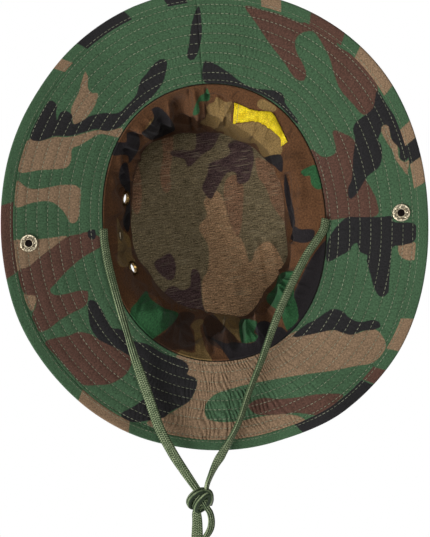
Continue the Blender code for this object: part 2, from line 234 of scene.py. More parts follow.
def blendColour(tree, share, first, second, mode="MIX"):
    node = addNode(tree, "ShaderNodeMix", {0: share}, data_type="RGBA", blend_type=mode)
    for socket, value in ((node.inputs[6], first), (node.inputs[7], second)):
        if isinstance(value, bpy.types.NodeSocket):
            tree.links.new(value, socket)
        else:
            socket.default_value = value
    return node.outputs[2]


def readValue(tree, name):
    return addNode(tree, "ShaderNodeAttribute", attribute_name=name).outputs["Fac"]


def readVector(tree, name):
    return addNode(tree, "ShaderNodeAttribute", attribute_name=name).outputs["Vector"]


def noiseNode(tree, place, scale, detail=2.0):
    return addNode(tree, "ShaderNodeTexNoise", {"Vector": place, "Scale": scale, "Detail": detail}).outputs["Fac"]


def newGroup(name, inputs, outputs):
    tree = bpy.data.node_groups.new(name, "ShaderNodeTree")
    for key, (kind, value) in inputs.items():
        socket = tree.interface.new_socket(key, in_out="INPUT", socket_type=kind)
        if value is not None:
            socket.default_value = value
    for key, kind in outputs.items():
        tree.interface.new_socket(key, in_out="OUTPUT", socket_type=kind)
    return tree, tree.nodes.new("NodeGroupInput").outputs, tree.nodes.new("NodeGroupOutput").inputs


def useGroup(tree, group, inputs):
    node = addNode(tree, "ShaderNodeGroup", node_tree=group)
    for key, value in inputs.items():
        if isinstance(value, bpy.types.NodeSocket):
            tree.links.new(value, node.inputs[key])
        else:
            node.inputs[key].default_value = value
    return node.outputs


def newMaterial(name, **sockets):
    material = bpy.data.materials.new(name)
    material.use_nodes = True
    shader = material.node_tree.nodes["Principled BSDF"]
    for key, value in sockets.items():
        shader.inputs[key].default_value = value
    return material, material.node_tree, shader


def bumpNormal(tree, shader, height, distance, strength=1.0):
    node = addNode(tree, "ShaderNodeBump", {"Height": height, "Distance": distance, "Strength": strength})
    tree.links.new(node.outputs["Normal"], shader.inputs["Normal"])


number, colour, vector = "NodeSocketFloat", "NodeSocketColor", "NodeSocketVector"


# Inks of the woodland print, and the effects that the cloths share
inks = {
    "green": srgb(64, 92, 65),
    "tan": srgb(134, 110, 86),
    "brown": srgb(86, 60, 50),
    "black": srgb(32, 31, 32),
}


def camoPrintGroup():
    # four inks over a ground, each where its distance field, in millimetres, is above zero
    tree, given, put = newGroup("camoPrint", {
        "Place": (vector, None), "Ground": (colour, inks["green"]),
        "Tan": (number, -9.0), "Brown": (number, -9.0), "Green": (number, -9.0), "Black": (number, -9.0),
        "Tan Ink": (colour, inks["tan"]), "Brown Ink": (colour, inks["brown"]),
        "Green Ink": (colour, inks["green"]), "Black Ink": (colour, inks["black"]),
        "Edge": (number, 0.3)}, {"Color": colour})
    ragged = calc(tree, "MULTIPLY_ADD", noiseNode(tree, given["Place"], 0.9, 3.0), 0.9, -0.45)
    low = calc(tree, "MULTIPLY", given["Edge"], -1.0)
    shown = given["Ground"]
    for ink in ("Tan", "Brown", "Green", "Black"):
        mask = ramp(tree, calc(tree, "ADD", given[ink], ragged), low, given["Edge"])
        shown = blendColour(tree, mask, shown, given[f"{ink} Ink"])
    faded = calc(tree, "MULTIPLY_ADD", noiseNode(tree, given["Place"], 0.035, 3.0), 0.34, 0.83)
    dye = addNode(tree, "ShaderNodeHueSaturation", {"Value": faded, "Color": shown})
    tree.links.new(dye.outputs["Color"], put["Color"])
    return tree


def clothWeaveGroup():
    # threads over and under at one pitch, uneven in thickness and shade
    tree, given, put = newGroup("clothWeave", {"Cloth": (vector, None), "Pitch": (number, 0.7)},
                                {"Height": number, "Shade": number})
    split = addNode(tree, "ShaderNodeSeparateXYZ", {0: given["Cloth"]}).outputs
    waves = []
    for axis in ("X", "Y"):
        wave = calc(tree, "SINE", calc(tree, "MULTIPLY", calc(tree, "DIVIDE", split[axis], given["Pitch"]), fullTurn))
        waves.append(wave)
    threads = calc(tree, "MULTIPLY", waves[0], waves[1])
    uneven = noiseNode(tree, given["Cloth"], 0.85, 4.0)
    height = calc(tree, "MULTIPLY_ADD", threads, 0.3, uneven)
    tree.links.new(height, put["Height"])
    tree.links.new(calc(tree, "MULTIPLY_ADD", uneven, 2.3, -0.15), put["Shade"])
    return tree


def threadSlubGroup():
    # a coarse reverse: short dark and light dashes of thread, and a few long pale ones, along the first direction
    tree, given, put = newGroup("threadSlubs", {"Cloth": (vector, None)}, {"Shade": number, "Slub": number})

    def drawnNoise(sizes, detail=1.0):
        place = addNode(tree, "ShaderNodeVectorMath", {0: given["Cloth"], 1: (*sizes, 1.0)}, operation="MULTIPLY")
        return noiseNode(tree, place.outputs[0], 1.0, detail)

    dashes = calc(tree, "MULTIPLY_ADD", drawnNoise((0.14, 1.7), 2.0), 3.2, -0.6)
    shade = calc(tree, "MULTIPLY_ADD", calc(tree, "SUBTRACT", drawnNoise((0.9, 1.4)), 0.5), 2.0, dashes)
    long = ramp(tree, drawnNoise((0.045, 1.7)), 0.57, 0.66)
    sparse = ramp(tree, drawnNoise((0.08, 0.14)), 0.42, 0.58)
    tree.links.new(calc(tree, "MAXIMUM", shade, 0.35), put["Shade"])
    tree.links.new(calc(tree, "MULTIPLY", long, sparse), put["Slub"])
    return tree


def drawnRowsGroup():
    # fine puckers across the rows of stitching: Lay holds mm along a row, mm across the rows and the strength
    tree, given, put = newGroup("drawnRows", {"Lay": (vector, None)}, {"Height": number})
    split = addNode(tree, "ShaderNodeSeparateXYZ", {0: given["Lay"]}).outputs
    total = None
    for wide, long, slant, share in ((2.4, 7.0, 0.35, 0.6), (1.3, 4.0, -0.2, 0.4)):
        along = calc(tree, "DIVIDE", calc(tree, "MULTIPLY_ADD", split["Y"], slant, split["X"]), wide)
        across = calc(tree, "DIVIDE", split["Y"], long)
        spot = addNode(tree, "ShaderNodeCombineXYZ", {0: along, 1: across}).outputs[0]
        ripple = calc(tree, "MULTIPLY", noiseNode(tree, spot, 1.0, 2.0), share)
        total = ripple if total is None else calc(tree, "ADD", total, ripple)
    tree.links.new(calc(tree, "MULTIPLY", total, split["Z"]), put["Height"])
    return tree


def softCreaseGroup():
    # fine irregular creases of handled cloth
    tree, given, put = newGroup("softCreases", {"Place": (vector, None), "Size": (number, 9.0)}, {"Height": number})
    scale = calc(tree, "DIVIDE", 1.0, given["Size"])
    wide = noiseNode(tree, given["Place"], scale, 4.0)
    ridge = calc(tree, "ABSOLUTE", calc(tree, "SUBTRACT", wide, 0.5))
    tree.links.new(calc(tree, "POWER", ridge, 0.7), put["Height"])
    return tree


def metalAgeGroup():
    # dull film and small scratches on plated metal
    tree, given, put = newGroup("metalAge", {"Place": (vector, None)}, {"Film": number, "Scratch": number})
    film = ramp(tree, noiseNode(tree, given["Place"], 0.9, 5.0), 0.36, 0.66)
    drawn = addNode(tree, "ShaderNodeVectorMath", {0: given["Place"], 1: (0.4, 6.0, 1.2)}, operation="MULTIPLY")
    scratch = ramp(tree, noiseNode(tree, drawn.outputs[0], 1.0, 2.0), 0.6, 0.72)
    tree.links.new(film, put["Film"])
    tree.links.new(scratch, put["Scratch"])
    return tree


camoPrint = camoPrintGroup()
clothWeave = clothWeaveGroup()
threadSlubs = threadSlubGroup()
drawnRows = drawnRowsGroup()
softCreases = softCreaseGroup()
metalAge = metalAgeGroup()


def camoMaterial(name, finish):
    material, tree, shader = newMaterial(name, Roughness=0.92)
    shader.inputs["Specular IOR Level"].default_value = 0.18
    shader.inputs["Sheen Weight"].default_value = finish["sheen"]
    shader.inputs["Sheen Roughness"].default_value = 0.6
    place, cloth = readVector(tree, "place"), readVector(tree, "cloth")
    printed = useGroup(tree, camoPrint, {
        "Place": place, "Ground": finish["ground"], "Tan Ink": finish["tan"], "Brown Ink": finish["brown"],
        "Green Ink": finish["green"], "Black Ink": finish["black"], "Edge": finish["edge"],
        **{ink.capitalize(): readValue(tree, ink) for ink in inks}})["Color"]
    weave = useGroup(tree, clothWeave, {"Cloth": cloth, "Pitch": finish["pitch"]})
    shaded = addNode(tree, "ShaderNodeHueSaturation", {"Value": weave["Shade"], "Color": printed}).outputs["Color"]
    height = weave["Height"]
    if finish["slubs"]:
        yarn = useGroup(tree, threadSlubs, {"Cloth": cloth})
        shaded = addNode(tree, "ShaderNodeHueSaturation", {"Value": yarn["Shade"], "Color": shaded}).outputs["Color"]
        shaded = blendColour(tree, calc(tree, "MULTIPLY", yarn["Slub"], finish["slubs"]), shaded, finish["slubInk"])
        height = calc(tree, "MULTIPLY_ADD", yarn["Shade"], 0.5, height)
    creases = useGroup(tree, softCreases, {"Place": place, "Size": finish["creaseSize"]})["Height"]
    height = calc(tree, "MULTIPLY_ADD", creases, finish["creases"], height)
    if finish["rows"]:
        ripples = useGroup(tree, drawnRows, {"Lay": readVector(tree, "lay")})["Height"]
        height = calc(tree, "MULTIPLY_ADD", ripples, finish["rows"], height)
        # Painted shade: the cloth darkens in a narrow groove along each row of stitching, and more at the needle holes
        # between stitches
        gap = calc(tree, "PINGPONG", readValue(tree, "run"), 0.5)
        hole = calc(tree, "MULTIPLY_ADD", ramp(tree, gap, 0.2, 0.06), finish["holeShade"], finish["rowShade"])
        shaded = blendColour(tree, calc(tree, "MULTIPLY", readValue(tree, "groove"), hole), shaded, srgb(20, 20, 14))
    tree.links.new(shaded, shader.inputs["Base Color"])
    bumpNormal(tree, shader, height, 0.00012)
    return material


faceFinish = {
    "ground": inks["green"], **inks, "edge": 0.35, "pitch": 0.7, "sheen": 0.04,
    "slubs": 0.0, "slubInk": inks["tan"], "creases": 2.4, "creaseSize": 9.0, "rows": 5.0,
    # the last two values set the painted shade along the stitch rows and at the needle holes
    "rowShade": 0.08, "holeShade": 0.5,
}
insideFinish = {
    **faceFinish, "ground": srgb(88, 58, 35), "tan": srgb(126, 102, 62), "green": srgb(40, 82, 48),
    # the inside brown ink is painted shade, used only by the front shade patches
    "black": srgb(26, 22, 24), "brown": srgb(56, 36, 23), "creases": 6.0, "creaseSize": 12.0, "rows": 0.0,
}
liningFinish = {
    **faceFinish, "ground": srgb(126, 113, 86), "tan": srgb(172, 138, 104), "brown": srgb(144, 110, 85),
    "green": srgb(134, 125, 102), "black": srgb(82, 64, 63), "edge": 0.7, "slubs": 0.42, "slubInk": srgb(190, 178, 146),
    "creaseSize": 16.0, "rows": 0.0,
}
faceCloth = camoMaterial("woodlandCloth", faceFinish)
insideCloth = camoMaterial("woodlandBandCloth", insideFinish)
liningCloth = camoMaterial("woodlandReverseCloth", liningFinish)
print("cloth materials made")


# Chin cord: a flat tubular braid from each side seam to the knot in front, and two tails
cordLook = {"wide": 8.0, "thick": 2.4, "step": 1.2, "around": 22, "column": 1.6, "stitch": 1.7}
cordRoutes = {
    "cordLeft": [
        (81, 2, 14.2), (81, -7, 12.8), (80.2, -16, 11), (79, -25, 9.2), (76.7, -37, 7), (74, -50, 5), (69, -73, 2.6),
        (64.6, -93, 1.5), (58, -118, 1.4), (54.7, -131, 1.4), (51, -144.5, 1.4), (43.5, -162, 1.8), (37, -174.5, 3),
        (31, -185.5, 4.6), (29.4, -188.4, 4.9)],
    "cordRight": [
        (-81, -4, 14.2), (-79, -11, 13.2), (-75, -16.5, 11.9), (-65.6, -27.5, 9), (-55.8, -42, 6.2), (-48, -55, 4.4),
        (-40.8, -68, 3), (-34.5, -81, 2.2), (-26.6, -99, 1.5), (-19.5, -113.5, 1.4), (-14, -125, 1.4),
        (-9.9, -135, 1.4),
        (-4.8, -146, 1.4), (1.8, -156.5, 1.5), (8, -165.5, 1.9), (14.2, -174.5, 3), (19.4, -184.5, 4.6),
        (20.8, -188, 4.9)],
    "tailLeft": [
        (29.8, -206.9, 4.7), (29.9, -210.4, 4.5), (30, -214, 4.4), (30.3, -217.5, 4.3), (30.6, -221, 4.3),
        (31.1, -225, 4.3), (31.6, -229, 4.3), (32.1, -233, 4.3), (32.6, -237, 4.2), (33, -240.5, 4), (33.3, -244, 3.6),
        (33.6, -247, 3), (33.8, -250, 2.3), (34, -253.5, 1.8), (34.1, -257, 1.5)],
    "tailRight": [
        (20.6, -206.6, 4), (19.9, -209, 3), (19.6, -211.5, 2.2), (19.8, -214.8, 1.7), (20.6, -218, 1.4),
        (22.5, -221.4, 1.3), (25, -224.5, 1.3), (28, -228, 1.3), (31, -231.5, 1.3), (34.1, -235, 1.3),
        (37, -238.5, 1.3),
        (39.3, -242.2, 1.3), (41, -246, 1.3), (42.2, -250, 1.3), (43, -254, 1.3)],
}
knotTucks = {  # where each strand goes on into the knot: points before its route and points after it
    "cordLeft": ([], [(26.5, -193.5, 5.4)]),
    "cordRight": ([], [(22.2, -193, 5.6)]),
    "tailLeft": ([(27.6, -200, 4.6)], []),
    "tailRight": ([(24.6, -198.5, 4.4), (22.4, -203.5, 4.2)], []),
}


def braidMaterial():
    material, tree, shader = newMaterial("cordBraid", Roughness=0.8)
    shader.inputs["Specular IOR Level"].default_value = 0.25
    along, across = readValue(tree, "along"), readValue(tree, "across")
    column = calc(tree, "DIVIDE", across, cordLook["column"])
    ridge = calc(tree, "ABSOLUTE", calc(tree, "SINE", calc(tree, "MULTIPLY", column, math.pi)))
    leaning = calc(tree, "PINGPONG", column, 1.0)
    lay = calc(tree, "ADD", calc(tree, "DIVIDE", along, cordLook["stitch"]), calc(tree, "MULTIPLY", leaning, 0.8))
    stitch = calc(tree, "ABSOLUTE", calc(tree, "SINE", calc(tree, "MULTIPLY", lay, math.pi)))
    chevrons = calc(tree, "MULTIPLY", calc(tree, "POWER", ridge, 0.25), calc(tree, "MULTIPLY_ADD", stitch, 0.85, 0.15))
    ribs = calc(tree, "MULTIPLY", calc(tree, "POWER", ridge, 1.6), calc(tree, "MULTIPLY_ADD", stitch, 0.3, 0.7))
    height = addNode(tree, "ShaderNodeMix", {0: readValue(tree, "drawn"), 2: chevrons, 3: ribs}).outputs[0]
    # The colour follows the braid's height: painted shade in the valleys between strands and a painted highlight on the
    # strand tops, the highlight in patches
    blotchy = ramp(tree, noiseNode(tree, readVector(tree, "place"), 0.25, 3.0), 0.1, 0.75)
    low = blendColour(tree, ramp(tree, height, 0.1, 0.55), srgb(26, 36, 23), srgb(80, 99, 66))
    shown = blendColour(tree, calc(tree, "MULTIPLY", ramp(tree, height, 0.5, 0.92), blotchy), low, srgb(172, 183, 144))
    tree.links.new(shown, shader.inputs["Base Color"])
    bumpNormal(tree, shader, height, 0.0004)
    return material


braid = braidMaterial()


def smoothRoute(points, step):
    places = np.array(points, float)
    ends = np.vstack([2 * places[0] - places[1], places, 2 * places[-1] - places[-2]])
    fine = []
    for before, start, end, after in zip(ends, ends[1:], ends[2:], ends[3:]):
        t = np.linspace(0, 1, 24, endpoint=False)[:, None]
        fine.append(0.5 * (2 * start + (end - before) * t + (2 * before - 5 * start + 4 * end - after) * t**2
                           + (3 * start - before - 3 * end + after) * t**3))
    fine = np.vstack([*fine, places[-1:]])
    gone = np.concatenate([[0], np.cumsum(np.linalg.norm(np.diff(fine, axis=0), axis=1))])
    count = max(8, round(gone[-1] / step))
    marks = np.linspace(0, gone[-1], count + 1)
    return np.stack([np.interp(marks, gone, fine[:, i]) for i in range(3)], axis=1), marks


def unit(rows):
    return rows / np.maximum(np.linalg.norm(rows, axis=-1, keepdims=True), 1e-9)


def flatTube(route, marks, wide, thick, tilt, outFrom=None):
    # points, faces and braid values of a flat tube whose broad side lies level, leaned over by tilt, or faces
    # away from the point outFrom
    around = cordLook["around"]
    forward = unit(np.gradient(route, axis=0))
    upward = np.array([0.0, 0.0, 1.0]) if outFrom is None else route - outFrom
    side = unit(np.cross(forward, upward))
    above = np.cross(side, forward)
    side, above = (side * np.cos(tilt)[:, None] + above * np.sin(tilt)[:, None],
                   above * np.cos(tilt)[:, None] - side * np.sin(tilt)[:, None])
    angle = np.linspace(0, fullTurn, around, endpoint=False)
    across = np.sign(np.cos(angle)) * np.abs(np.cos(angle)) ** 0.75
    up = np.sign(np.sin(angle)) * np.abs(np.sin(angle)) ** 0.8
    points = (route[:, None] + side[:, None] * (across * 0.5)[None, :, None] * wide[:, None, None]
              + above[:, None] * (up * 0.5)[None, :, None] * thick[:, None, None])
    rows = len(route)
    faces = [tuple(face) for face in gridFaces(rows, around, wrap=True).tolist()]
    faces += [tuple(range(around))[::-1], tuple(range((rows - 1) * around, rows * around))]
    values = {
        "along": np.repeat(marks, around),
        "across": (across[None] * 0.5 * wide[:, None]).ravel(),
        "place": points.reshape(-1, 3),
    }
    return points.reshape(-1, 3), faces, values


def makeCord(name, tilts, widths):
    # tilts and widths list (share of the length, value)
    before, after = knotTucks[name]
    route, marks = smoothRoute([*before, *cordRoutes[name], *after], cordLook["step"])
    share = marks / marks[-1]
    tilt = np.radians(np.interp(share, *zip(*tilts)))
    wide = cordLook["wide"] * np.interp(share, *zip(*widths))
    thick = cordLook["thick"] * np.sqrt(cordLook["wide"] / wide)
    reach = (wide * np.abs(np.sin(tilt)) + thick * np.cos(tilt)) / 2
    route[:, 2] = np.maximum(route[:, 2], reach)  # a leaning stretch stands on its lower edge
    points, faces, values = flatTube(route, marks, wide, thick, tilt)
    values["drawn"] = np.repeat(ease((0.84 - wide / cordLook["wide"]) / 0.14), cordLook["around"])
    piece = makePiece(name, points, faces, braid, values)
    return piece, route, marks[-1]


def makeCords():
    knotRides = [("tailLeft", "cord_tail_left", [(0, 8), (1, 0)], [(0, 0.66), (0.15, 0.86), (0.4, 1.04), (1, 1)]),
                 ("tailRight", "cord_tail_right", [(0, 10), (0.35, 25), (0.6, 74), (0.8, 40), (1, 0)],
                  [(0, 0.5), (0.3, 0.66), (1, 0.9)])]
    seamRides = [("cordLeft", "cord_left", [(0, 34), (0.25, 22), (0.45, 8), (0.6, 0), (1, 4)],
                  [(0, 0.8), (0.12, 0.82), (0.3, 0.7), (0.38, 0.56), (0.46, 0.72), (0.54, 0.9),
                   (0.84, 0.9), (0.92, 0.8), (1, 0.66)]),
                 ("cordRight", "cord_right",
                  [(0, 28), (0.4, 34), (0.62, 50), (0.78, 48), (0.87, 22), (0.93, 50), (1, 70)],
                  [(0, 0.86), (0.35, 0.84), (0.6, 0.74), (0.78, 0.74), (0.88, 0.92), (1, 0.55)])]
    for name, node, tilts, widths in seamRides:
        piece, route, length = makeCord(name, tilts, widths)
        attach(piece, "hat")
        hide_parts(node)
        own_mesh(piece)
    for name, node, tilts, widths in knotRides:
        piece, route, length = makeCord(name, tilts, widths)
        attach(piece, "knot")
        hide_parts(node)


makeCords()


# Knot: strands of the braid, drawn over the photograph as (pixel across, pixel down, height in mm)
knot = {
    "strands": [
        (6.0, 3.6, [(208, 496, 7.4), (206.5, 491.5, 5.4), (202, 490.8, 3.8), (196.5, 492.8, 2.9), (191.6, 497, 2.6),
                    (189.2, 501.5, 3.2), (189.6, 504.8, 5.2), (193, 505.8, 7.2), (200, 502, 8.0)]),
        (6.2, 3.8, [(209.5, 503, 7.6), (210.8, 497.5, 5.6), (208.6, 493.4, 3.6), (204.4, 494.8, 2.4), (200, 499, 2.0),
                    (196.6, 503.8, 2.3), (195.4, 507.8, 3.8), (197.6, 509.8, 6.0), (203, 507, 7.8)]),
        (5.4, 3.6, [(203, 493.5, 5.6), (206.5, 491.4, 4.2), (209.6, 493, 3.5), (210.9, 497.4, 3.5), (209.8, 502.4, 4.2),
                    (206.6, 505.8, 6.2)]),
    ],
    "core": ((199.5, 499.6), 5.6, (6.6, 5.6, 3.2)),  # pixel, height and half sizes of the filling behind the strands
    "ribs": 0.6, "stitches": 0.12,  # how fine the braid shows where it is pulled tight
}


def makeKnot():
    points, faces, start = [], [], 0
    values = {"along": [], "across": [], "place": []}
    for wide, thick, places in knot["strands"]:
        ground = [(*fromPhoto([place[:2]], place[2])[0], place[2]) for place in places]
        route, marks = smoothRoute(ground, 0.5)
        centre = route.mean(axis=0)
        full = np.ones(len(route))
        made, sides, braidValues = flatTube(route, marks, wide * full, thick * full, 0 * full, outFrom=centre)
        points.append(made)
        faces += [tuple(i + start for i in face) for face in sides]
        start += len(made)
        for key in values:
            values[key].append(braidValues[key])
    pixel, height, halves = knot["core"]
    centre = np.array([*fromPhoto([pixel], height)[0], height])
    rise, turn = np.meshgrid(np.linspace(0.03, math.pi - 0.03, 13), np.linspace(0, fullTurn, 24, endpoint=False),
                             indexing="ij")
    ball = np.stack([np.sin(rise) * np.cos(turn), np.sin(rise) * np.sin(turn), np.cos(rise)], axis=-1)
    made = (centre + ball * np.array(halves)).reshape(-1, 3)
    points.append(made)
    faces += [tuple(int(i) + start for i in face) for face in gridFaces(13, 24, wrap=True)]
    faces += [tuple(start + np.arange(24)), tuple(start + 12 * 24 + np.arange(24))]
    values["along"].append(made[:, 0])
    values["across"].append(made[:, 1])
    values["place"].append(made)
    piece = makePiece("chinKnot", np.vstack(points), [tuple(int(i) for i in face) for face in faces], braid, {
        "along": np.concatenate(values["along"]) * knot["stitches"],
        "across": np.concatenate(values["across"]) * knot["ribs"],
        "place": np.vstack(values["place"]), "drawn": np.ones(sum(map(len, points)))})
    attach(piece, "knot")
    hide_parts("chin_knot")


makeKnot()
print("cords and knot made")


# Sizes of the hat, in millimetres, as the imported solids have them
hat = {
    "seam": (80, 100), "seamHeight": 16.5, "seamSwell": 2.0, "seamCorners": 2.6,
    "rim": (152, 166), "rimCorners": 3.0, "rimHeight": 1.14, "frontLift": 12, "liftFull": 12, "liftEnd": 32,
    "brimThick": 2.6,
    "wall": (81.6, 101.6), "wallFoot": 19.4, "top": (68, 85), "topHeight": 110, "topRise": 3.6, "topFlat": 0.55,
    "wallThick": 1.1,
}
brim = {
    "columns": 740,
    "swells": [  # degrees round, mm that the rim stands out
        (0, 1.3), (20, -0.2), (40, -3.15), (56, -1.64), (72, -0.25), (95, 0.33), (112, 0.77), (132, 2.27), (148, 3.14),
        (165, 2.25), (184, 0.84), (200, 1.1), (216, 1.95), (232, -0.1), (246, -0.86), (264, 0.1), (285, -0.35),
        (300, -2.5), (320, -0.75), (340, 2.0)],
    "waves": [(60, 3.0, 16), (128, 2.2, 14), (222, 3.2, 18), (322, 2.6, 14)],
    "stitchRows": [0.035, 0.12, 0.235, 0.34, 0.447, 0.55, 0.655, 0.76, 0.853, 0.906],
    "puff": 0.32, "pucker": 0.22, "puckerLong": 3.6, "puckerWide": 11.0,
    "crimp": 0.62, "crimpLong": 3.3, "crimpSlant": 0.3,
    "tightPuckers": [(272, 1.0, 16), (252, 0.35, 13), (298, 0.25, 14), (155, 0.4, 18), (112, 0.2, 22)],
    "loosePuckers": 0.1,
    "bindingShare": 0.884, "backJoint": 0.7, "width": 68.0,
}


thread = {"pitch": 3.3, "long": 2.5, "thick": 0.46, "sides": 6}


def rimHeight(turn):
    offFront = np.abs(turnFrom(turn, -math.pi / 2))
    lift = ease((math.radians(hat["liftEnd"]) - offFront) / math.radians(hat["liftEnd"] - hat["liftFull"]))
    return hat["rimHeight"] + hat["frontLift"] * lift + bumps(turn, brim["waves"])


def seamSwell(turn):
    return hat["seamSwell"] + hat["seamCorners"] * np.sin(2 * turn) ** 2


def brimPoint(turn, out, up):
    # a point of the brim: out runs from the head seam to the rim, up is the height over its underside
    c, s = np.cos(turn), np.sin(turn)
    outward = (seamSwell(turn) * (1 - out) ** 2 + turnCurve(turn, brim["swells"]) * out**1.5
               + hat["rimCorners"] * np.sin(2 * turn) ** 2 * out)
    x = c * mix(hat["seam"][0], hat["rim"][0], out) + c * outward
    y = s * mix(hat["seam"][1], hat["rim"][1], out) + s * outward
    z = mix(hat["seamHeight"], rimHeight(turn), out) + up
    return np.stack([x, y, z], axis=-1)


def rowPlace(out):
    # share of the way between the two rows of stitching on either side, and mm to the nearer one
    rows = np.array([-0.06, *brim["stitchRows"], 1.0])
    at = np.clip(np.searchsorted(rows, out, side="right") - 1, 0, len(rows) - 2)
    share = np.clip((out - rows[at]) / (rows[at + 1] - rows[at]), 0, 1)
    return share, np.minimum(out - rows[at], rows[at + 1] - out) * brim["width"]


def drawnUp(turn):
    return brim["loosePuckers"] + bumps(turn, brim["tightPuckers"])


def crimps(along, across, seed):
    # narrow ridges across the rows, with sharp valleys, where the thread has drawn the cloth together
    flat = np.stack([along, across * 0.8, 0 * along], axis=-1).reshape(-1, 3)
    drift = 1.2 * clothNoise(flat, 12.0, seed) + 0.35 * clothNoise(flat, 5.0, seed + 1)
    cycles = (along + across * brim["crimpSlant"]) / brim["crimpLong"] + drift.reshape(along.shape)
    depth = np.clip(0.7 + 1.1 * clothNoise(flat, 9.0, seed + 2), 0, 1.4).reshape(along.shape)
    return depth * (1 - 2 * (0.5 - 0.5 * np.sin(fullTurn * cycles)) ** 2)


def brimRelief(turn, out, seed):
    # how far the cloth stands off between its rows of stitching, with the puckers that the rows draw up
    puff = np.sin(math.pi * rowPlace(out)[0]) ** 0.6
    along, across = turn * 130, out * brim["width"] + 0 * turn
    flat = np.stack([along, across, 0 * turn], axis=-1).reshape(-1, 3)
    size = np.array([brim["puckerLong"], brim["puckerWide"], 1.0])
    slanted = flat + np.stack([flat[:, 1] * 0.3, 0 * flat[:, 1], 0 * flat[:, 1]], axis=1)
    ripple = clothNoise(slanted / size, 1.0, seed).reshape(turn.shape)
    broad = clothNoise(flat / size / 2.6, 1.0, seed + 5).reshape(turn.shape)
    patchy = 0.75 + 0.5 * clothNoise(flat, 30.0, seed + 9).reshape(turn.shape)
    joint = np.exp(-((turnFrom(turn, math.pi / 2) * mix(hat["seam"][0], hat["rim"][0], out) / 0.7) ** 2))
    drawn = (brim["crimp"] * drawnUp(turn) * crimps(along, across, seed) + brim["pucker"] * (ripple + broad)) * patchy
    relief = brim["puff"] * puff + drawn * (0.45 + 0.55 * puff) - brim["backJoint"] * joint
    return relief * (1 - ease((out - brim["bindingShare"]) / 0.01))
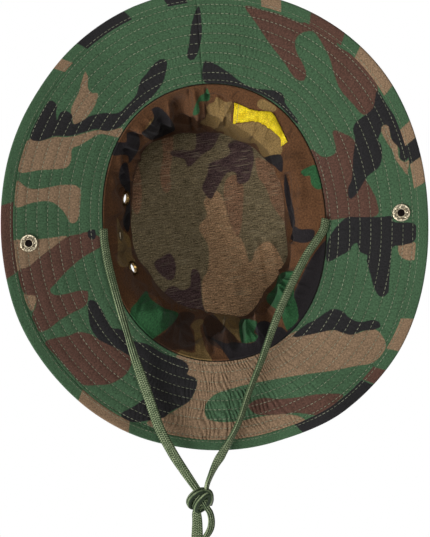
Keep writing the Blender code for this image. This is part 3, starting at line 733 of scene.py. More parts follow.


# Print, and a few patches of painted shade inside the crown: patches drawn as outlines on the photograph, in pixels, as
# the hat shows them from below
brimPatches = [
    ("black", "branch", [
        (49, 101), (57, 105), (56, 112), (57, 121), (60, 113), (66, 111), (72, 115), (73, 124), (82, 121), (90, 116),
        (104, 113), (118, 113), (128, 104), (136, 95), (140, 82), (146, 74), (155, 63), (162, 59), (167, 62),
        (166, 72), (162, 84), (152, 97), (140, 108), (128, 119), (118, 128), (106, 131), (96, 129), (85, 132),
        (70, 136), (55, 136), (40, 141), (30, 138), (36, 122)]),
    ("black", "backWedge", [
        (199, 6), (192, 22), (189, 45), (187, 56), (191, 60), (196, 57), (200, 45), (202, 30)]),
    ("black", "backStrip", [
        (204, 62), (215, 64), (222, 68), (232, 75), (241, 82), (250, 87), (260, 89), (272, 90), (280, 92), (284, 97),
        (285, 103), (290, 110), (297, 119), (298, 124), (290, 117), (280, 106), (268, 98), (255, 92), (240, 88),
        (225, 85), (204, 82)]),
    ("tan", "spike", [
        (86, 72), (88, 78), (88, 88), (92, 93), (98, 94), (94, 107), (86, 118), (80, 123), (74, 124), (72, 118),
        (71, 110), (74, 102), (79, 92), (81, 84), (84, 74)]),
    ("tan", "leftUpper", [
        (29, 139), (40, 141), (55, 137), (70, 137), (85, 133), (98, 130), (108, 131), (122, 128), (119, 137),
        (108, 135), (100, 134), (90, 139), (80, 145), (72, 149), (71, 160), (67, 167), (58, 169), (40, 170),
        (19, 172), (22, 155)]),
    ("tan", "leftTongue", [
        (17, 181), (22, 184), (28, 188), (38, 189), (50, 187), (62, 185), (74, 185), (79, 188), (81, 192), (80, 205),
        (79, 215), (76, 222), (71, 223), (68, 219), (64, 212), (58, 206), (52, 202), (44, 201), (36, 202), (28, 204),
        (20, 207), (15, 206), (15, 195)]),
    ("tan", "leftSnap", [
        (13, 241), (30, 240), (50, 238), (67, 236), (58, 244), (48, 251), (38, 259), (28, 267), (18, 271), (14, 258)]),
    ("brown", "leftBig", [
        (67, 237), (80, 234), (88, 232), (101, 238), (101, 246), (92, 252), (82, 258), (70, 268), (62, 276), (56, 283),
        (50, 290), (55, 295), (66, 294), (78, 291), (87, 291), (88, 297), (87, 303), (82, 308), (72, 313), (60, 320),
        (50, 328), (40, 332), (36, 325), (32, 316), (36, 305), (35, 296), (24, 293), (18, 272), (28, 267), (40, 257),
        (52, 248)]),
    ("black", "leftChip", [(88, 231), (95, 230), (95, 239), (89, 238)]),
    ("tan", "leftTriangle", [(24, 294), (36, 295), (36, 302), (31, 311)]),
    ("brown", "frontLeft", [
        (45, 343), (55, 338), (68, 336), (78, 332), (90, 334), (97, 338), (110, 341), (120, 350), (131, 357),
        (131, 365), (126, 374), (120, 379), (110, 384), (98, 385), (84, 385), (75, 378), (65, 366), (55, 355)]),
    ("black", "frontLeftArm", [
        (88, 303), (92, 300), (97, 303), (103, 312), (108, 322), (112, 328), (120, 329), (128, 334), (134, 341),
        (147, 344), (165, 354), (184, 361), (189, 369), (187, 374), (195, 378), (197, 385), (191, 399), (182, 406),
        (170, 412), (165, 417), (152, 420), (131, 422), (121, 414), (136, 405), (146, 395), (147, 380), (140, 365),
        (131, 357), (118, 349), (105, 343), (97, 338), (90, 325)]),
    ("tan", "frontUpper", [
        (176, 356), (190, 358), (220, 358), (260, 352), (290, 334), (300, 331), (322, 331), (340, 330), (350, 334),
        (358, 333), (368, 330), (378, 331), (386, 346), (374, 362), (355, 366), (330, 371), (300, 375), (270, 380),
        (245, 385), (230, 389), (214, 395), (205, 406), (207, 418), (220, 422), (240, 421), (258, 417), (285, 414),
        (305, 420), (296, 438), (240, 446), (190, 442), (147, 424), (165, 416), (182, 406), (191, 399), (197, 385),
        (195, 378), (187, 374)]),
    ("brown", "frontRight", [
        (248, 406), (256, 400), (265, 398), (280, 399), (300, 397), (320, 394), (340, 394), (343, 397), (338, 401),
        (333, 410), (330, 417), (300, 413), (285, 414), (268, 415), (256, 414)]),
    ("black", "right", [
        (328, 240), (344, 219), (360, 217), (378, 217), (392, 216), (394, 222), (415, 224), (415, 240), (404, 245),
        (393, 247), (391, 258), (390, 270), (389, 285), (388, 293), (381, 297), (375, 290), (371, 277), (367, 262),
        (367, 255), (360, 252), (357, 243), (352, 246), (350, 250), (340, 256), (327, 261)]),
    ("tan", "rightDisc", [(399, 243), (407, 241), (416, 244), (416, 258), (407, 260), (399, 254)]),
    ("black", "frontRightArm", [
        (293, 337), (305, 325), (315, 320), (325, 313), (333, 309), (342, 311), (350, 318), (360, 322), (372, 320),
        (379, 322), (380, 327), (372, 330), (362, 331), (352, 335), (343, 333), (333, 330), (318, 333)]),
    ("brown", "rightUpper", [
        (310, 150), (323, 157), (333, 155), (336, 149), (333, 131), (345, 134), (353, 139), (360, 150), (364, 170),
        (366, 180), (372, 190), (377, 202), (376, 216), (345, 218), (325, 217), (319, 180)]),
    ("black", "rightBackArm", [
        (378, 91), (389, 108), (399, 123), (407, 143), (409, 155), (405, 161), (400, 158), (399, 148), (392, 140),
        (388, 126), (382, 126), (381, 132), (378, 140), (381, 145), (382, 155), (379, 167), (367, 177), (358, 192),
        (350, 199), (348, 189), (352, 178), (353, 158), (355, 140), (353, 130), (356, 122), (364, 116), (373, 108),
        (375, 99)]),
    ("tan", "rightSliver", [
        (381, 130), (384, 125), (389, 126), (391, 138), (397, 145), (399, 158), (405, 162), (409, 160), (408, 170),
        (407, 175), (402, 168), (396, 160), (392, 150), (386, 141)]),
    ("brown", "backRight", [
        (245, 6), (263, 10), (279, 14), (303, 23), (308, 14), (338, 33), (337, 45), (352, 55), (366, 70), (378, 88),
        (374, 107), (364, 115), (352, 103), (340, 89), (334, 73), (330, 59), (323, 45), (316, 34), (310, 31),
        (300, 34), (295, 42), (297, 53), (303, 64), (306, 74), (303, 81), (294, 77), (284, 62), (270, 44), (256, 23)]),
]
bindingStretches = [
    # ink and the pixels where it starts and ends, clockwise round the rim
    ("black", (79, 48), (124, 14)), ("black", (162, 3), (182, 0)), ("tan", (258, 0), (278, 6)),
    ("brown", (308, 16), (340, 38)), ("tan", (355, 50), (389, 86)), ("tan", (404, 122), (411, 138)),
    ("black", (411, 138), (418, 156)), ("tan", (418, 156), (424, 181)), ("tan", (402, 312), (392, 345)),
    ("brown", (380, 364), (373, 381)), ("black", (372, 382), (304, 432)), ("tan", (131, 430), (85, 394)),
    ("brown", (5, 281), (4, 207)), ("tan", (60, 76), (68, 67)),
]


def closedCurve(outline, steps=5):
    places = np.array(outline, float)
    before, after, next2 = np.roll(places, 1, 0), np.roll(places, -1, 0), np.roll(places, -2, 0)
    t = np.linspace(0, 1, steps, endpoint=False)[None, :, None]
    start, end, before, after = places[:, None], after[:, None], before[:, None], next2[:, None]
    curve = 0.5 * (2 * start + (end - before) * t + (2 * before - 5 * start + 4 * end - after) * t**2
                   + (3 * start - before - 3 * end + after) * t**3)
    return curve.reshape(-1, 2)


def insideDistance(pixels, outline, reach=14.0):
    # distance to an outline, above zero inside it, and -reach where it is far away
    curve = closedCurve(outline)
    found = np.full(len(pixels), -reach)
    near = ((pixels > curve.min(0) - reach) & (pixels < curve.max(0) + reach)).all(axis=1)
    spots = pixels[near]
    if not len(spots):
        return found
    best, inside = np.full(len(spots), 1e9), np.zeros(len(spots), bool)
    for (ax, ay), (bx, by) in zip(curve, np.roll(curve, -1, axis=0)):
        dx, dy = bx - ax, by - ay
        t = np.clip(((spots[:, 0] - ax) * dx + (spots[:, 1] - ay) * dy) / max(dx * dx + dy * dy, 1e-9), 0, 1)
        best = np.minimum(best, (spots[:, 0] - ax - t * dx) ** 2 + (spots[:, 1] - ay - t * dy) ** 2)
        crosses = (ay > spots[:, 1]) != (by > spots[:, 1])
        reachX = ax + (spots[:, 1] - ay) / (dy if abs(dy) > 1e-9 else 1e-9) * dx
        inside ^= crosses & (spots[:, 0] < reachX)
    found[near] = np.where(inside, 1, -1) * np.minimum(np.sqrt(best), reach)
    return found


def printPatches(points, patches):
    pixels = toPhoto(points)
    fields = {ink: np.full(len(points), -9.0) for ink in inks}
    for ink, _, outline in patches:
        fields[ink] = np.maximum(fields[ink], insideDistance(pixels, outline) / photo["pixelsPerMm"])
    return fields


outsidePrint = {
    # blob size in mm, seed and level for each ink of the sides that the photograph doesn't show
    "tan": (52.0, 3, 0.30), "brown": (58.0, 11, 0.24), "black": (40.0, 23, 0.36),
}


def printOutside(points, stretch=(1.0, 1.0, 1.0)):
    fields = {ink: np.full(len(points), -9.0) for ink in inks}
    bent = points * np.array(stretch)
    warp = np.stack([clothNoise(points, 22.0, seed) for seed in (41, 42, 43)], axis=1) * 9
    for ink, (size, seed, level) in outsidePrint.items():
        value = clothNoise(bent + warp, size, seed) + 0.35 * clothNoise(bent + warp, size * 0.45, seed + 1)
        fields[ink] = np.clip((value - level) * size * 0.55, -9, 9)
    return fields


def clothValues(points, cloth, fields):
    return {"place": points, "cloth": cloth, **fields}


def joinFields(*blocks):
    return {ink: np.concatenate([block[ink] for block in blocks]) for ink in inks}


halves = {
    "left": (-math.pi / 2, math.pi / 2, "left_flap", 1),
    "right": (math.pi / 2, 3 * math.pi / 2, "right_flap", -1),
}


def followFold(piece):
    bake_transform(piece)


def makeBrim(name, start, end):
    rows = [0.0, *brim["stitchRows"], 0.985]
    steps = np.array([0, 0.1, 0.3, 0.5, 0.7, 0.9])
    outs = np.concatenate([mix(a, b, steps) for a, b in zip(rows, rows[1:])] + [rows[-1:]])
    turn, out = np.meshgrid(np.linspace(start, end, brim["columns"] + 1), outs)
    under = brimPoint(turn, out, -brimRelief(turn, out, 3))
    over = brimPoint(turn, out, hat["brimThick"] + brimRelief(turn, out, 8))
    lower, upper = under.reshape(-1, 3), over.reshape(-1, 3)
    points = np.vstack([lower, upper])
    fields = joinFields(printPatches(lower, brimPatches), printOutside(upper))
    cloth = np.stack([points[:, 0], points[:, 1], np.zeros(len(points))], axis=1)
    lay = np.stack([turn * 130, out * brim["width"], 0.8 + 1.2 * drawnUp(turn)], axis=-1).reshape(-1, 3)
    # groove: nearness to a row of stitching, which sets the painted shade along the rows
    groove = np.exp(-((rowPlace(out)[1] / 0.7) ** 2)).ravel()
    plain = brimPoint(turn, out, 0 * turn)
    run = np.zeros_like(turn)
    run[:, 1:] = np.cumsum(np.linalg.norm(np.diff(plain, axis=1), axis=2), axis=1)
    piece = makePiece(f"brim_{name}_half", points, shellFaces(*turn.shape), faceCloth, {
        **clothValues(points, cloth, fields), "lay": np.tile(lay, (2, 1)), "groove": np.tile(groove, 2),
        "run": np.tile(run.ravel() / thread["pitch"], 2)}, 70)
    followFold(piece)
    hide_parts(*[f"brim_{ply}_{part}" for ply in ("lower", "core", "upper") for part in ("middle", name)])


for name, (start, end, flap, side) in halves.items():
    makeBrim(name, start, end)
print("brim made")


# Binding: a tape folded round the rim
binding = {"off": 0.95, "thick": 0.7, "ripple": 0.12, "columns": 460}


def bindingSection():
    # (share of the brim, height over its underside) from the inner edge below, round the rim, to the inner edge above
    inner, thick, off = brim["bindingShare"], hat["brimThick"], binding["off"]
    flat = np.linspace(inner, 0.985, 12)
    middle = thick / 2
    nose = np.linspace(-math.pi / 2, math.pi / 2, 9)[1:-1]
    belly = off * np.minimum(1, 0.55 + 6 * (flat - inner))
    low = [(out, -lift) for out, lift in zip(flat, belly)]
    edge = [(0.985 + 0.017 * math.cos(a), middle + (middle + off) * math.sin(a)) for a in nose]
    high = [(out, thick + lift) for out, lift in zip(flat[::-1], belly[::-1])]
    return np.array(low + edge + high)


def makeBinding(name, start, end):
    section = bindingSection()
    turn, row = np.meshgrid(np.linspace(start, end, binding["columns"] + 1), np.arange(len(section)))
    out, up = section[row, 0], section[row, 1]
    flat = np.stack([turn * 150, row * 1.3, 0 * turn], axis=-1).reshape(-1, 3)
    ripple = binding["ripple"] * clothNoise(flat, 6.0, 4).reshape(turn.shape)
    outward = np.sign(up - hat["brimThick"] / 2)
    skin = brimPoint(turn, out, up + ripple * outward)
    centre = hat["brimThick"] / 2
    inset = 1 - binding["thick"] / (centre + binding["off"])
    lining = brimPoint(turn, np.minimum(out, 0.99), centre + (up - centre) * inset)
    points = np.vstack([skin.reshape(-1, 3), lining.reshape(-1, 3)])
    angle = np.tile(turn.ravel(), 2)
    slant = np.tile((row / len(section) - 0.5).ravel(), 2) * 0.05
    fields = {ink: np.full(len(points), -9.0) for ink in inks}
    for ink, first, last in bindingStretches:
        ends = fromPhoto([first, last], hat["rimHeight"]) / np.array(hat["rim"])
        a, b = np.arctan2(ends[:, 1], ends[:, 0])
        half = abs(turnFrom(b, a)) / 2
        middle = a + turnFrom(b, a) / 2
        away = np.abs(turnFrom(angle + slant, middle))
        fields[ink] = np.maximum(fields[ink], np.clip((half - away) * 155, -9, 9))
    cloth = np.stack([angle * 155, np.tile(row.ravel(), 2) * 1.0, np.zeros(len(points))], axis=1)
    piece = makePiece(f"binding_{name}_half", points, shellFaces(*turn.shape), faceCloth,
                      clothValues(points, cloth, fields))
    followFold(piece)
    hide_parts("binding_front", "binding_back", f"binding_{name}")


for name, (start, end, flap, side) in halves.items():
    makeBinding(name, start, end)
print("binding made")


# Thread: every stitch is a small spindle that dips into the cloth at its ends


def threadMaterial():
    material, tree, shader = newMaterial("sageThread", Roughness=0.75)
    shader.inputs["Specular IOR Level"].default_value = 0.3
    blotchy = noiseNode(tree, readVector(tree, "place"), 0.12, 3.0)
    twist = calc(tree, "SINE", calc(tree, "MULTIPLY", readValue(tree, "along"), 14.0))
    shown = blendColour(tree, ramp(tree, blotchy, 0.3, 0.7), srgb(116, 122, 98), srgb(166, 169, 144))
    tree.links.new(shown, shader.inputs["Base Color"])
    bumpNormal(tree, shader, twist, 0.00008)
    return material


sageThread = threadMaterial()


def stitchBlock(line, normals, pitch, long, thick):
    # spindles along a line of points, each with the normal of the cloth there
    gone = np.concatenate([[0], np.cumsum(np.linalg.norm(np.diff(line, axis=0), axis=1))])
    marks = np.arange(pitch / 2, gone[-1] - pitch / 4, pitch)

    def at(where, rows):
        return np.stack([np.interp(where, gone, rows[:, i]) for i in range(3)], axis=1)

    centre, upward = at(marks, line), unit(at(marks, normals))
    forward = unit(at(marks + long / 2, line) - at(marks - long / 2, line))
    side = np.cross(forward, upward)
    stations = [(-0.5, 0.3, -0.55), (-0.36, 0.85, 0.05), (0.0, 1.0, 0.3), (0.36, 0.85, 0.05), (0.5, 0.3, -0.55)]
    sides = thread["sides"]
    angle = np.linspace(0, fullTurn, sides, endpoint=False)
    rings = []
    for along, girth, lift in stations:
        middle = centre + forward * along * long + upward * lift * thick
        rings.append(middle[:, None] + girth * thick / 2 * (
            side[:, None] * np.cos(angle)[None, :, None] + upward[:, None] * np.sin(angle)[None, :, None]))
    points = np.stack(rings, axis=1).reshape(len(marks), -1, 3)
    faces = gridFaces(len(stations), sides, wrap=True)
    along = np.repeat(np.array([s[0] for s in stations]) * long, sides)
    size = points.shape[1]
    starts = np.arange(len(marks)) * size
    allFaces = (faces[None] + starts[:, None, None]).reshape(-1, 4)
    return points.reshape(-1, 3), allFaces, np.tile(along, len(marks))


def makeStitches(name, blocks, material=None):
    points, faces, along, start = [], [], [], 0
    for made, sides, lengthwise in blocks:
        points.append(made)
        faces.append(sides + start)
        along.append(lengthwise)
        start += len(made)
    points = np.vstack(points)
    return makePiece(name, points, np.vstack(faces), material or sageThread,
                     {"place": points, "along": np.concatenate(along)})


def brimStitches(name, start, end):
    blocks = []
    turn = np.linspace(start, end, 900)
    for share in brim["stitchRows"]:
        onTape = share > brim["bindingShare"]
        lift = binding["off"] * 0.75 if onTape else 0.0
        for face, seed in ((-1, 3), (1, 8)):
            out = np.full_like(turn, share)
            stand = lift if onTape else brimRelief(turn, out, seed) - 0.04
            base = 0.0 if face < 0 else hat["brimThick"]
            line = brimPoint(turn, out, base + face * stand)
            normals = np.tile(np.array([0.0, 0.0, face]), (len(turn), 1))
            girth = thread["thick"] * (0.75 if onTape else 1.0)
            blocks.append(stitchBlock(line, normals, thread["pitch"], thread["long"], girth))
    piece = makeStitches(f"brim_{name}_stitches", blocks)
    followFold(piece)


for name, (start, end, flap, side) in halves.items():
    brimStitches(name, start, end)
print("brim stitched")


# Crown: two side panels and a top, soft and a little caved in
crown = {
    "columns": 320, "rows": 88, "topColumns": 640, "topRows": 50,
    "dents": [  # degrees round, mm that the top's edge lies inside its oval
        (0, -2.0), (17, -3.0), (32, -7.0), (45, -8.5), (54, -5.0), (62, 1.0), (68, 2.6), (82, 9.4),
        (92, 8.0), (108, 10.4),
        (115, 11.5), (130, 7.3), (138, 8.6), (151, 3.4), (165, 5.6), (176, 8.0), (182, 9.2), (191, 7.6), (204, 3.2),
        (220, 5.2), (232, 7.3), (245, 2.6), (253, 0.4), (268, 7.8), (286, 10.2), (299, 6.4), (309, 4.4), (322, 2.3),
        (335, 3.2), (341, -1.6), (350, -3.4)],
    "wrinkle": 1.3, "folds": 3.4, "foldWide": 24.0, "fineFolds": 1.3, "fineWide": 10.0,
}
insideFolds = [
    # mm towards the head, spread in pixels, and the pixels that the fold runs along
    (-3.2, 2.4, [(189, 86), (192, 108), (193, 128)]), (2.6, 3.0, [(193, 88), (196, 108), (197, 126)]),
    (-2.4, 1.8, [(206.4, 86.5), (206, 95), (208.5, 96)]), (-2.4, 1.8, [(209, 95.7), (215, 94), (223, 98), (227, 102)]),
    (-2.2, 1.8, [(227.4, 101), (236, 94), (241.5, 91)]), (-1.8, 1.6, [(224, 103), (226, 125)]),
    (-2.6, 2.0, [(290, 135.4), (294.8, 129)]), (-2.8, 2.2, [(258.8, 128.6), (253, 138)]),
    (3.0, 5.0, [(137, 127)]), (-2.4, 1.8, [(127.5, 130), (139, 133)]), (-2.4, 2.0, [(126, 253), (133, 260)]),
    (7.0, 13.0, [(149, 319)]), (-2.2, 1.8, [(138, 305), (136, 318)]), (2.4, 3.0, [(147, 300), (155, 322)]),
    (-3.6, 3.0, [(154, 302), (161, 313), (177, 311)]), (-4.0, 5.0, [(166, 336), (182, 316)]),
    (4.0, 7.0, [(176, 120), (186, 131)]), (-5.0, 6.0, [(158, 122), (164, 132)]),
    (-4.0, 2.6, [(288, 174), (290, 194), (292, 216), (291, 240)]), (2.4, 4.0, [(300, 176), (304, 200), (303, 228)]),
    (-2.6, 3.6, [(262, 239), (265, 262), (269, 279)]), (2.0, 4.0, [(271, 244), (276, 266)]),
    (-2.4, 2.4, [(312, 250), (298, 280), (290, 306)]), (2.2, 3.4, [(284, 288), (290, 316)]),
    (-2.4, 2.2, [(240, 322), (243, 342)]), (2.2, 4.0, [(226, 330), (230, 350)]), (-3.0, 3.0, [(205, 326), (212, 352)]),
    (2.4, 3.4, [(112, 228), (115, 250)]), (-2.4, 2.2, [(121, 216), (124, 240)]),
    (2.4, 3.4, [(112, 180), (116, 200)]), (-4.5, 3.4, [(125, 150), (124, 176)]), (-4.5, 3.4, [(126, 214), (127, 246)]),
]
ventPlaces = [(side, y) for side in (1, -1) for y in (25, -31)]
ventHeight = 79
ventLean = math.radians(18)  # how far the slack wall tips in at a vent
ventHole = 4.9
socketPlace = (-4, 64.4)


def wallOval(height):
    share = (height - hat["wallFoot"]) / (hat["topHeight"] - hat["wallFoot"])
    return mix(hat["wall"][0], hat["top"][0], share), mix(hat["wall"][1], hat["top"][1], share)


def wallPlace(side, along, height):
    a, b = wallOval(height)
    x = side * a * math.sqrt(1 - (along / b) ** 2)
    leanX = (hat["wall"][0] - hat["top"][0]) / (hat["topHeight"] - hat["wallFoot"])
    leanY = (hat["wall"][1] - hat["top"][1]) / (hat["topHeight"] - hat["wallFoot"])
    rise = x**2 * leanX / a**3 + along**2 * leanY / b**3
    outward = np.array([x / a**2, along / b**2, rise])
    return np.array([x, along, height]), outward / np.linalg.norm(outward)


def fittingsMask(x, y, z):
    # zero at the vents and sockets, which keep their places, and one away from them
    mask = np.ones_like(z)
    for side, along in ventPlaces:
        away = np.sqrt((y - along) ** 2 + (z - ventHeight) ** 2)
        mask = mask * np.where(x * side > 0, ease((away - 7) / 13), 1)
    away = np.sqrt((y - socketPlace[0]) ** 2 + (z - socketPlace[1]) ** 2)
    return mask * ease((away - 7) / 12)


def sharpFolds(along, up, wide, seed):
    # folds with a soft back and a sharper ridge, long in the up direction, from -1 to 1
    flat = np.stack([along / wide, up / (wide * 2.6), 0 * along], axis=-1).reshape(-1, 3)
    value = clothNoise(flat, 1.0, seed)
    return (1 - 2 * np.abs(value) ** 0.8).reshape(np.shape(along))


def lineDistance(pixels, line):
    starts = np.array(line, float)
    ends = starts[1:] if len(starts) > 1 else starts
    best = np.full(len(pixels), 1e9)
    for a, b in zip(starts, ends):
        t = np.clip(((pixels - a) @ (b - a)) / max((b - a) @ (b - a), 1e-9), 0, 1)
        best = np.minimum(best, np.linalg.norm(pixels - a - t[:, None] * (b - a), axis=1))
    return best


def foldedIn(points):
    pixels = toPhoto(points.reshape(-1, 3))
    total = np.zeros(len(pixels))
    for depth, spread, line in insideFolds:
        total += depth * np.exp(-((lineDistance(pixels, line) / spread) ** 2))
    return total.reshape(points.shape[:-1])


def wallPoint(turn, height, inward=0.0):
    a, b = wallOval(height)
    c, s = np.cos(turn), np.sin(turn)
    share = (height - hat["wallFoot"]) / (hat["topHeight"] - hat["wallFoot"])
    x, y = a * c, b * s
    flat = np.stack([x, y, height * 0.7], axis=-1).reshape(-1, 3)
    soft = clothNoise(flat, 26.0, 6).reshape(turn.shape) + 0.6 * clothNoise(flat, 12.0, 7).reshape(turn.shape)
    caved = turnCurve(turn, crown["dents"], 4.0) * ease((share - 0.3) / 0.55)
    creased = (crown["wrinkle"] * soft
               + crown["folds"] * sharpFolds(turn * 80 + height * 0.35, height, crown["foldWide"], 31)
               + crown["fineFolds"] * sharpFolds(turn * 80 - height * 0.5, height, crown["fineWide"], 33))
    drawn = foldedIn(np.stack([x - c * caved, y - s * caved, height + 0 * turn], axis=-1))
    give = caved + creased * ease(share / 0.4) * (1 - 0.7 * ease((share - 0.85) / 0.15))
    give = give + drawn * ease(share / 0.1) * (1 - ease((share - 0.88) / 0.12))
    give = give * np.where(share > 0.99, 1, fittingsMask(x, y, height)) - seamSwell(turn) * (1 - share) ** 3
    for side, along in ventPlaces:
        away = np.sqrt((y - along) ** 2 + (height - ventHeight) ** 2)
        tipped = (height - ventHeight) * math.tan(ventLean) * np.exp(-((away / 16) ** 4))
        give = give + np.where(x * side > 0, tipped, 0)
    give = give + inward
    return np.stack([x - c * give, y - s * give, height + 0 * turn], axis=-1)


def makeWall(name, start, end, side):
    turn, height = np.meshgrid(np.linspace(start, end, crown["columns"] + 1),
                               np.linspace(hat["wallFoot"], hat["topHeight"], crown["rows"] + 1))
    outer = wallPoint(turn, height).reshape(-1, 3)
    inner = wallPoint(turn, height, hat["wallThick"]).reshape(-1, 3)
    points = np.vstack([outer, inner])
    fields = joinFields(printOutside(outer), printPatches(inner, insidePatches))
    cloth = np.tile(np.stack([turn.ravel() * 82, height.ravel(), 0 * turn.ravel()], axis=1), (2, 1))
    faces = shellFaces(*turn.shape)
    inside = np.zeros(len(faces), np.int32)
    quads = crown["columns"] * crown["rows"]
    inside[quads:2 * quads] = 1
    middles = points[faces].mean(axis=1)
    whole = np.ones(len(faces), bool)
    for ventSide, along in ventPlaces:
        spot = wallPlace(ventSide, along, ventHeight)[0]
        whole &= np.linalg.norm(middles - spot, axis=1) > ventHole
    faces, inside = faces[whole], inside[whole]
    piece = makePiece(f"crown_{name}_panel", points, faces, faceCloth, clothValues(points, cloth, fields))
    piece.data.materials.append(insideCloth)
    piece.data.polygons.foreach_set("material_index", inside)
    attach(piece, "hat")
    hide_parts(f"crown_side_{name}")
    return piece


# Print inside the crown, on the sweatband and the walls' inner faces; the gap and front shade patches at the end are
# painted shade, the left gap partly print
insidePatches = [
    ("black", "backHollow", [
        (152, 109), (160, 107.6), (170, 118), (175, 129), (170, 133), (161, 137), (152, 140), (146, 137), (141.5, 133),
        (147, 128), (154, 118)]),
    ("tan", "hollowSliver", [
        (155, 117), (152, 119), (148, 125), (145, 129), (147, 129), (152, 125), (155, 120)]),
    ("black", "backLoop", [
        (127, 133), (134.6, 132), (139, 136), (140, 144), (138, 151), (133.5, 158), (129, 163), (127, 155), (112, 155),
        (116, 143), (126, 142)]),
    ("tan", "loopChip", [(129, 144), (132, 143), (133, 148), (130, 151)]),
    ("green", "backBits", [
        (207, 88), (210, 96), (208, 101), (199, 102), (199.5, 112), (194, 115.6), (193, 112), (197, 101), (200, 96),
        (205, 92.6)]),
    ("tan", "backOlive", [
        (200, 123), (206, 117), (207, 106), (214, 102), (217, 97), (225, 102), (233, 103), (232, 123), (256, 122),
        (269, 129), (280, 138), (281, 154), (264, 157), (256, 144), (248, 143), (225, 137), (224, 132), (217, 131),
        (211, 127)]),
    ("black", "backWedge", [(264, 158), (281, 155), (282, 172), (273, 165)]),
    ("tan", "labelTop", [(257, 105), (262, 99), (276, 107), (273, 112), (263, 110)]),
    ("green", "rightPatch", [
        (301, 173), (303, 169.6), (315, 165), (318, 173), (323, 187), (316, 189), (311, 183), (310, 176),
        (304.5, 176)]),
    ("black", "rightPatch", [
        (294, 226), (300, 229), (314, 230), (312.5, 239.6), (303, 243), (291, 239.6), (292, 233)]),
    ("black", "rightPanel", [
        (332, 236), (328, 253), (322, 272), (314, 301), (309, 318), (299, 326), (291, 340), (287, 332), (298, 320),
        (297, 306), (294, 294), (301, 278), (309, 262), (320, 246)]),
    ("green", "frontRight", [
        (278, 277), (284, 272), (293, 271), (296, 274), (294, 294), (298, 306), (299, 318), (289, 331), (284, 324),
        (281, 313), (276, 309), (268, 303), (267, 296), (275, 287)]),
    ("black", "frontStrip", [
        (255, 331), (258, 323), (266, 321), (277, 326), (284, 329), (291, 340), (281, 346), (270, 353), (249, 359),
        (233, 362), (226, 355), (218, 344), (205, 335), (225, 343), (233, 342), (251, 343), (258, 337)]),
    ("green", "frontNotch", [
        (240, 320), (256, 321), (257, 327), (254, 332), (259, 336), (266, 338), (248, 343), (241, 341)]),
    ("tan", "frontOlive", [(214, 314), (239, 318), (240, 341), (222, 323)]),
    ("tan", "frontStem", [
        (191, 326), (195, 320.6), (201, 319), (204, 322), (200, 327), (202, 336), (205.6, 349), (211, 358), (212, 365),
        (206, 366), (188, 362), (177, 357), (164, 352.4), (172, 351), (177, 353), (181, 350), (187, 352), (195, 352),
        (195, 342), (194, 331)]),
    ("green", "frontLeft", [
        (146, 291), (151, 299), (164, 308), (178, 313), (174, 322), (164, 331), (151, 340), (145, 341), (140, 332),
        (131, 319), (131, 309), (136, 303)]),
    ("tan", "leftOlive", [
        (117, 218), (122, 229), (128, 235), (131, 243), (132, 255), (135, 262), (125, 267), (118, 263), (118, 243)]),
    ("tan", "leftSliver", [
        (102, 250), (107, 258), (114, 271), (116, 282), (112, 284), (108, 275), (104, 262)]),
    ("black", "leftFleck", [(116, 291), (119, 294), (121, 304), (118, 303)]),
    # The two gap patches next are black ink over the dark gaps beside the lining: the left one partly black print and
    # partly painted shadow, the right one painted shadow
    ("black", "leftGapShadow", [
        (121, 166), (127, 163), (130, 180), (130.5, 200), (130, 226), (127, 232), (123, 222), (126, 208), (126, 192),
        (121, 184), (119, 176)]),
    ("black", "rightGapShadow", [
        (285, 174), (289, 186), (291, 198), (294, 212), (295, 224), (292, 228), (289, 216), (286, 202), (284, 188)]),
    # The two front shade patches are painted shade: dark brown ink where the front wall lies in shadow
    ("brown", "frontShade", [
        (152, 338), (166, 332), (178, 314), (190, 312), (195, 317), (190, 326), (193, 334), (194, 350), (181, 349),
        (172, 350), (162, 347)]),
    ("brown", "frontShadeRight", [
        (205, 318), (214, 315), (222, 324), (238, 341), (228, 350), (214, 346), (206, 338), (203, 328)]),
]
liningPatches = [
    ("black", "backBlot", [
        (197, 130), (209, 128), (221, 128), (214, 146), (202, 155), (192, 165), (187, 166), (184, 159), (172, 156),
        (171, 151), (181, 150), (195, 149)]),
    ("black", "backHook", [
        (228, 144), (238, 140), (249, 143), (253, 151), (254, 160), (252, 170), (249, 180), (242, 184), (237, 182),
        (236, 173), (229, 172), (223, 178), (217, 189), (211, 199), (205, 194), (202, 187), (207, 175), (210, 163),
        (221, 159), (230, 153)]),
    ("black", "frontBlot", [
        (154, 263), (162, 257), (169, 253), (174, 258), (176, 268), (174, 278), (168, 280), (159, 273)]),
    ("black", "frontFoot", [
        (191, 272), (195, 269), (200, 275), (202, 301), (205, 314), (190, 316), (172, 312), (160, 302), (166, 290),
        (174, 286), (182, 290), (190, 286)]),
    ("tan", "rightBand", [
        (204, 202), (213, 190), (223, 198), (230, 222), (243, 242), (250, 262), (257, 248), (270, 242), (283, 262),
        (284, 278), (275, 288), (256, 326), (230, 326), (206, 316), (203, 302), (202, 282), (207, 272), (209, 262),
        (208, 245), (199, 228), (207, 215)]),
    ("brown", "middleBand", [
        (226, 180), (236, 175), (243, 186), (243, 206), (241, 228), (237, 236), (230, 222), (224, 198)]),
    ("brown", "rightStreak", [
        (256, 158), (268, 162), (283, 172), (290, 204), (288, 224), (280, 216), (272, 204), (266, 188), (258, 176)]),
    ("brown", "backStreak", [
        (162, 134), (172, 132), (173, 152), (170, 172), (171, 188), (164, 192), (160, 176), (163, 156)]),
    ("brown", "leftStreak", [(128, 168), (138, 164), (142, 196), (138, 214), (132, 206)]),
]

for name, (start, end, flap, side) in halves.items():
    makeWall(name, start, end, side)


